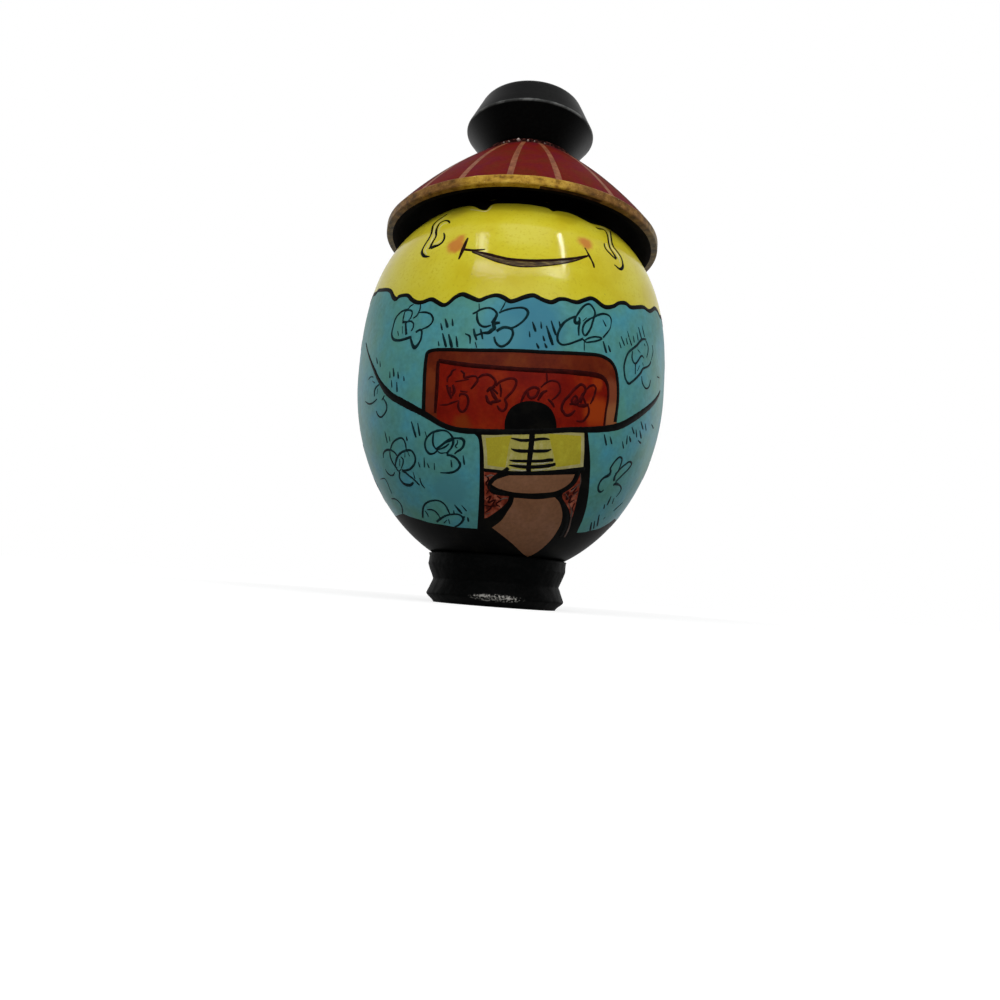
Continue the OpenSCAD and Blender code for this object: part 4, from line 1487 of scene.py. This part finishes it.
def bead(degrees, size):
    """Vertices and faces of a small lumpy ball at the neck."""
    az = math.radians(degrees)
    r = NECK_R + size * 0.4
    middle = Vector((r * math.sin(az), -r * math.cos(az), SLOPE_TOP[1] + 0.15 + size * 0.5))
    ball = [(math.sin(t), -math.cos(t)) for t in np.linspace(0, math.pi, 6)]
    verts, faces = turned_mesh(even_rings(ball, 10))
    ways = [Vector(v) / MM for v in verts]
    lumps = [1 + 0.3 * noise.noise(way * 1.5 + middle) for way in ways]
    return [tuple((middle + way * size * lump) * MM) for way, lump in zip(ways, lumps)], faces


def glue_specks(look):
    """Beads of dried glue round the neck under the knob."""
    add_piece("glue_specks", *joined(bead(*row) for row in BEADS), [look], "hat_paint")


# Knob and foot

def knob_body(look):
    """The knob, turned by hand a little out of round."""
    base = (KNOB_BASE_R, KNOB_LOW_Z)
    belt = (KNOB_R, KNOB_BELT_Z)
    top_out = (KNOB_TOP_R, KNOB_TOP_Z)
    top_in = (0.0, KNOB_TOP_Z)
    belt_arc = rounded(base, belt, top_out, KNOB_BELT_ROUND)
    top_arc = rounded(belt, top_out, top_in, KNOB_TOP_ROUND, 10)
    profile = [(0.0, KNOB_LOW_Z), (KNOB_BASE_R - POLE_R, KNOB_LOW_Z), base]
    profile += between(base, belt_arc[0], 10) + belt_arc[1:]
    profile += between(belt_arc[-1], top_arc[0], 10) + top_arc[1:]
    profile += between(top_arc[-1], (POLE_R, KNOB_TOP_Z), 8) + [top_in]

    def turned_by_hand(r, a, z):
        return r + KNOB_UNEVEN * noise.noise(Vector((math.sin(a), math.cos(a), z * 1.2))), a, z

    verts, faces = turned_mesh(even_rings(profile, KNOB_SEGMENTS, turned_by_hand))
    piece = add_piece("knob_body", verts, faces, [look], "knob_paint")
    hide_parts("knob")


def foot_body(look):
    """The foot, with a rough dull face and a dish that the egg sits in."""
    base = (FOOT_BASE_R, 0.0)
    collar_low = (FOOT_COLLAR_R, FOOT_TOP_Z - FOOT_COLLAR_H)
    collar_top = (FOOT_COLLAR_R, FOOT_TOP_Z)
    corners = [base, FOOT_LIP, FOOT_GROOVE, collar_low, collar_top]
    profile = [(0.0, 0.0), (FOOT_BASE_R - POLE_R, 0.0), base]
    for a, b, c, steps in zip(corners, corners[1:], corners[2:], (4, 5, 5)):
        arc = rounded(a, b, c, FOOT_ROUND)
        profile += between(profile[-1], arc[0], steps) + arc[1:]
    profile += between(profile[-1], collar_top, 4)
    profile += [(r, z) for r, z in dish_points() if z < FOOT_TOP_Z]

    def rough(r, a, z):
        outside = r > FOOT_BASE_R - 0.2 and 0.05 < z < FOOT_TOP_Z - 0.05
        if not outside:
            return r, a, z
        way = Vector((math.sin(a) * r, math.cos(a) * r, z))
        lumps = sum(noise.noise(way * scale) * height for scale, height in FOOT_LUMPS)
        return r - FOOT_INSET + lumps, a, z + FOOT_DRIFT * noise.noise(way * 0.8 + Vector((9, 0, 0)))

    verts, faces = turned_mesh(even_rings(profile, FOOT_SEGMENTS, rough))
    piece = add_piece("foot_body", verts, faces, [look], "foot_paint")
    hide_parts("foot")


# Light and floor

WORLD_LIGHT = 0.22
# How bright mirrored rays find the background in front of the object, against 1 behind it, and
# between which ways, from the front at -1 to the back at 1, it changes
FRONT_DIM = 0.03
DIM_END = -0.5
BRIGHT_START = 0.6
FLOOR_HALF = 1.5
FLOOR_SHADE = 0.35
FLOOR_GLOW = 0.78
# How far from the object the floor turns white, in millimetres
FLOOR_FADE = (60.0, 190.0)
# Lamps: place and aim, width and height in millimetres, and radiance
LAMPS = {
    "key": ((20, -440, 140), (0, 0, 40), 560, 400, 1.42),
    "ceiling": ((20, -150, 480), (0, 0, 70), 200, 200, 1.1),
    "back_left": ((-420, 330, 70), (0, 0, 40), 320, 320, 0.7),
    "back_right": ((420, 330, 70), (0, 0, 40), 320, 320, 1.1),
}
# Lamps that the lacquer mirrors at a pixel: width and height, radiance and turn in degrees.
# The first two are a window, the rest the bright band under the mouth.
MIRROR_DISTANCE = 400
MIRRORED = {
    "window_right": ((562.5, 248), 12, 180, 29, -22),
    "window_left": ((482, 243), 34, 130, 9, 30),
    "sill_0": ((483, 266), 75, 60, 8, 0),
    "sill_1": ((499, 270), 75, 50, 6.8, 0),
    "sill_2": ((517, 269.5), 75, 22, 6.5, 0),
    "sill_3": ((535, 269.5), 75, 22, 6.5, 0),
    "sill_4": ((550, 270), 75, 30, 9, 0),
    "sill_5": ((560, 271), 75, 50, 8, 0),
}


def lamp(name, place, aim, width, height, radiance, turn=0.0):
    """A rectangular lamp in millimetres that shines from place towards aim with this radiance,
    turned about that line by some degrees."""
    data = bpy.data.lights.new(name, "AREA")
    data.shape = "RECTANGLE"
    data.size = width * MM
    data.size_y = height * MM
    data.energy = radiance * math.pi * data.size * data.size_y
    light = bpy.data.objects.new(name, data)
    light.location = Vector(place) * MM
    way = (Vector(aim) - Vector(place)).to_track_quat("-Z", "Y").to_matrix()
    light.rotation_euler = (way @ Matrix.Rotation(math.radians(turn), 3, "Z")).to_euler()
    bpy.context.scene.collection.objects.link(light)


def mirrored_lamp(name, pixel, *size_and_light):
    """A lamp placed so that the egg's lacquer shows its reflection at a pixel."""
    at, normal = EGG.place(*EGG.from_pixels([pixel]))
    at, normal = Vector(at[0]) / MM, Vector(normal[0])
    ray = (at - Vector(CAMERA_AT)).normalized()
    out = ray - 2 * ray.dot(normal) * normal
    lamp(name, at + out * MIRROR_DISTANCE, at, *size_and_light)


def make_lamps():
    """Wide soft lamps before, above and behind, and window lamps that the lacquer mirrors."""
    for name, row in LAMPS.items():
        lamp(name, *row)
    for name, row in MIRRORED.items():
        mirrored_lamp(name, *row)


def seen_rays(tree):
    """1 for rays that show the background: the camera's, mirrored ones and those through glass."""
    path = tree.add("LightPath").outputs
    mirrored = tree.math("MAXIMUM", path["Is Camera Ray"], path["Is Glossy Ray"])
    return tree.math("MAXIMUM", mirrored, path["Is Transmission Ray"])


def seen_strength(tree, forward):
    """1 for the camera, and for other rays dimmer in front of the object than behind it."""
    fall = tree.add("MapRange", {"Value": forward, "From Min": DIM_END, "From Max": BRIGHT_START,
                                 "To Min": FRONT_DIM, "To Max": 1.0})
    return tree.math("MAXIMUM", fall.outputs["Result"], tree.add("LightPath").outputs["Is Camera Ray"])


def make_world():
    """Soft light from all round, under a background that is white to the camera."""
    world = bpy.data.worlds.new("studio")
    world.use_nodes = True
    tree = Tree(world.node_tree)
    soft = tree.set(tree.nodes["Background"], {"Color": WHITE, "Strength": WORLD_LIGHT})
    way = tree.add("SeparateXYZ", {0: tree.add("TexCoord").outputs["Generated"]})
    white = tree.add("Background", {"Color": WHITE, "Strength": seen_strength(tree, way.outputs["Y"])})
    mix = tree.add("MixShader", {0: seen_rays(tree), 1: soft.outputs[0], 2: white.outputs[0]})
    tree.set(tree.nodes["World Output"], {"Surface": mix.outputs[0]})
    bpy.context.scene.world = world


def make_floor():
    """A pale floor that keeps the shadow near the object and is white further off."""
    mesh = bpy.data.meshes.new("floor")
    ways = [(-1, -1), (1, -1), (1, 1), (-1, 1)]
    mesh.from_pydata([(x * FLOOR_HALF, y * FLOOR_HALF, 0) for x, y in ways], [], [(0, 1, 2, 3)])
    floor = bpy.data.objects.new("floor", mesh)
    bpy.context.scene.collection.objects.link(floor)
    look = Look("floor", roughness=0.9, specular=0.0)
    far = look.step(look.vector("LENGTH", look.mm), *FLOOR_FADE)
    glow = look.math("ADD", look.math("MULTIPLY", far, 1 - FLOOR_GLOW), FLOOR_GLOW)
    way = look.add("SeparateXYZ", {0: look.vector("SCALE", look.mm, scale=0.01)})
    seen = look.math("MULTIPLY", seen_rays(look), seen_strength(look, way.outputs["Y"]))
    look.set(look.shader, {"Base Color": (FLOOR_SHADE, FLOOR_SHADE, FLOOR_SHADE, 1),
                           "Emission Color": WHITE, "Emission Strength": look.math("MULTIPLY", glow, seen)})
    mesh.materials.append(look.material)


# The figure

def place_of(pixel):
    """The place on the egg behind a pixel, in millimetres."""
    place, _ = EGG.place(*EGG.from_pixels([pixel]))
    return tuple(place[0] / MM)


def placed(stains):
    """The stains with their places in millimetres."""
    return [(place_of(pixel), size, colour) for pixel, size, colour in stains]


def egg_looks():
    """The paints of the egg's skin."""
    return {
        "yellow": yellow_paint(placed(BLUSHES_AND_BRIM_SHADE), place_of(CALM)),
        "blue": blue_paint(placed(BRIGHTS)),
        "black": plain_paint("black_paint", ((2, 2, 2), (5, 5, 5), (18, 17, 13)), 2.2, specular=0.035),
        "band": plain_paint("band_paint", ((86, 28, 16), (102, 36, 17), (116, 50, 21)), 2.6,
                            placed(TANS), **SATIN),
        "red": plain_paint("red_paint", ((110, 16, 8), (126, 24, 10), (142, 42, 12)), 3.2,
                           placed(ORANGES), **SATIN),
        "coat": coat_paint(),
        "pale": pale_paint("pale_paint", (172, 164, 104), (192, 184, 134)),
        "brown": plain_paint("brown_paint", ((126, 86, 60), (134, 93, 66), (142, 100, 76)), 3.0,
                             specular=0.08, coat=0.05, coat_roughness=0.25),
        "bib": pale_paint("bib_paint", (178, 166, 46), (190, 180, 54)),
        "cream": pale_paint("cream_paint", (176, 168, 84), (200, 192, 134)),
        "mouth": mouth_paint(),
    }


def hat_looks():
    """The paints of the hat's skin."""
    return {
        "hollow": plain_paint("hollow_paint", ((5, 3, 3), (9, 6, 6), (20, 14, 14)), 2.0,
                              bump=(0.4, 0.4, 0.05), roughness=0.85, specular=0.03),
        "gold": gold_paint(),
        "bare": plain_paint("bare_paint", ((34, 16, 10), (56, 28, 16), (84, 52, 34)), 1.0,
                            bump=(0.3, 0.3, 0.05), roughness=0.6, specular=0.1),
        "maroon": maroon_paint(),
        "stripe": plain_paint("stripe_paint", ((114, 64, 43), (138, 82, 56), (158, 104, 71)), 0.9,
                              bump=(0.25, 0.3, 0.04), contrast=0.18, specular=0.06),
        # The neck under the knob is painted dark: dark glue, and painted shade under the knob.
        "neck": plain_paint("neck_paint", ((14, 5, 5), (38, 12, 10), (92, 52, 46)), 0.45,
                            bump=(0.25, 0.5, 0.06), contrast=0.14, roughness=0.6, specular=0.03),
    }


def dress_egg():
    """The egg's painted skin and all the lines of the brush on it."""
    chin = ring(CHIN, *CHIN_WAVES)
    egg_skin(painted_regions(chin, ring(SKIRT, *SKIRT_WAVES)), egg_looks())

    black = ink_look("black_ink", (9, 9, 9), (16, 18, 17))
    teal = ink_look("teal_ink", (8, 30, 34), (18, 56, 60))
    maroon = ink_look("maroon_ink", (42, 6, 5), (64, 12, 9))
    scribble = ink_look("red_ink", (56, 8, 10), (84, 13, 12))
    face = ink_look("face_ink", (30, 12, 8), (52, 26, 12))
    cream = pale_paint("ear_cream", (214, 205, 128), (228, 221, 164))
    dusty = pale_paint("coat_light", (88, 68, 60), (122, 102, 94))
    chalk = pale_paint("bib_light", (176, 172, 146), (200, 196, 176))

    chin_widths = [CHIN_WIDTH + CHIN_UNEVEN * noise.noise(Vector((az * 9, 0, 5))) for az, _ in chin]
    draw("chin_line", black, [np.column_stack([chin, chin_widths])])
    for name, look, strokes, rise in (
            ("jacket_edge", black, [HEM], 0.004),
            ("panel_outside", black, [PANEL_OUTSIDE], 0.002),
            ("panel_inside", maroon, PANEL_INSIDE, 0.0),
            ("button_line", black, BUTTON_LINE, 0.006),
            ("pouch_lines", black, POUCH_LINES, 0.0),
            ("coat_scribbles", maroon, COAT_SCRIBBLES, 0.0),
            ("coat_lights", dusty, COAT_LIGHTS, 0.002),
            ("bib_lights", chalk, BIB_LIGHTS, -0.015),
            ("mouth_lines", face, MOUTH_LINES, 0.0),
            ("ear_lights", cream, EAR_LIGHTS, -0.02),
            ("ears", black, EARS, 0.0),
            ("panel_flowers", scribble, PANEL_FLOWERS, -0.01)):
        draw(name, look, lines_of(strokes), rise)

    whole = [lines_of(flower, FLOWER_WIDTH) for flower in WHOLE_FLOWERS]
    cut = [lines_of(flower, FLOWER_WIDTH) for flower in CUT_FLOWERS]
    draw("jacket_flowers", teal, sum(whole + cut, []), -0.006)
    draw("flowers_behind", teal, flowers_behind(whole), -0.006)
    draw("jacket_ticks", teal, lines_of(tick(*row) for row in TICKS), -0.008)
    draw("ticks_behind", teal, ticks_behind(), -0.008)


def dress_rest():
    """The hat with its glue, the knob, the foot and the wood of the dowels."""
    hat_skin(hat_looks())
    glue_specks(glue_look())
    knob_body(knob_paint())
    foot_body(foot_paint((0.3, -FOOT_LIP[0], FOOT_LIP[1])))
    wood = dowel_wood()
    for node in ("foot_dowel", "hat_dowel"):
        mesh = frame["nodes"][node].data
        mesh.materials.clear()
        mesh.materials.append(wood)


make_camera()
dress_egg()
dress_rest()
make_floor()
make_world()
make_lamps()
bpy.context.scene.view_settings.view_transform = "Standard"
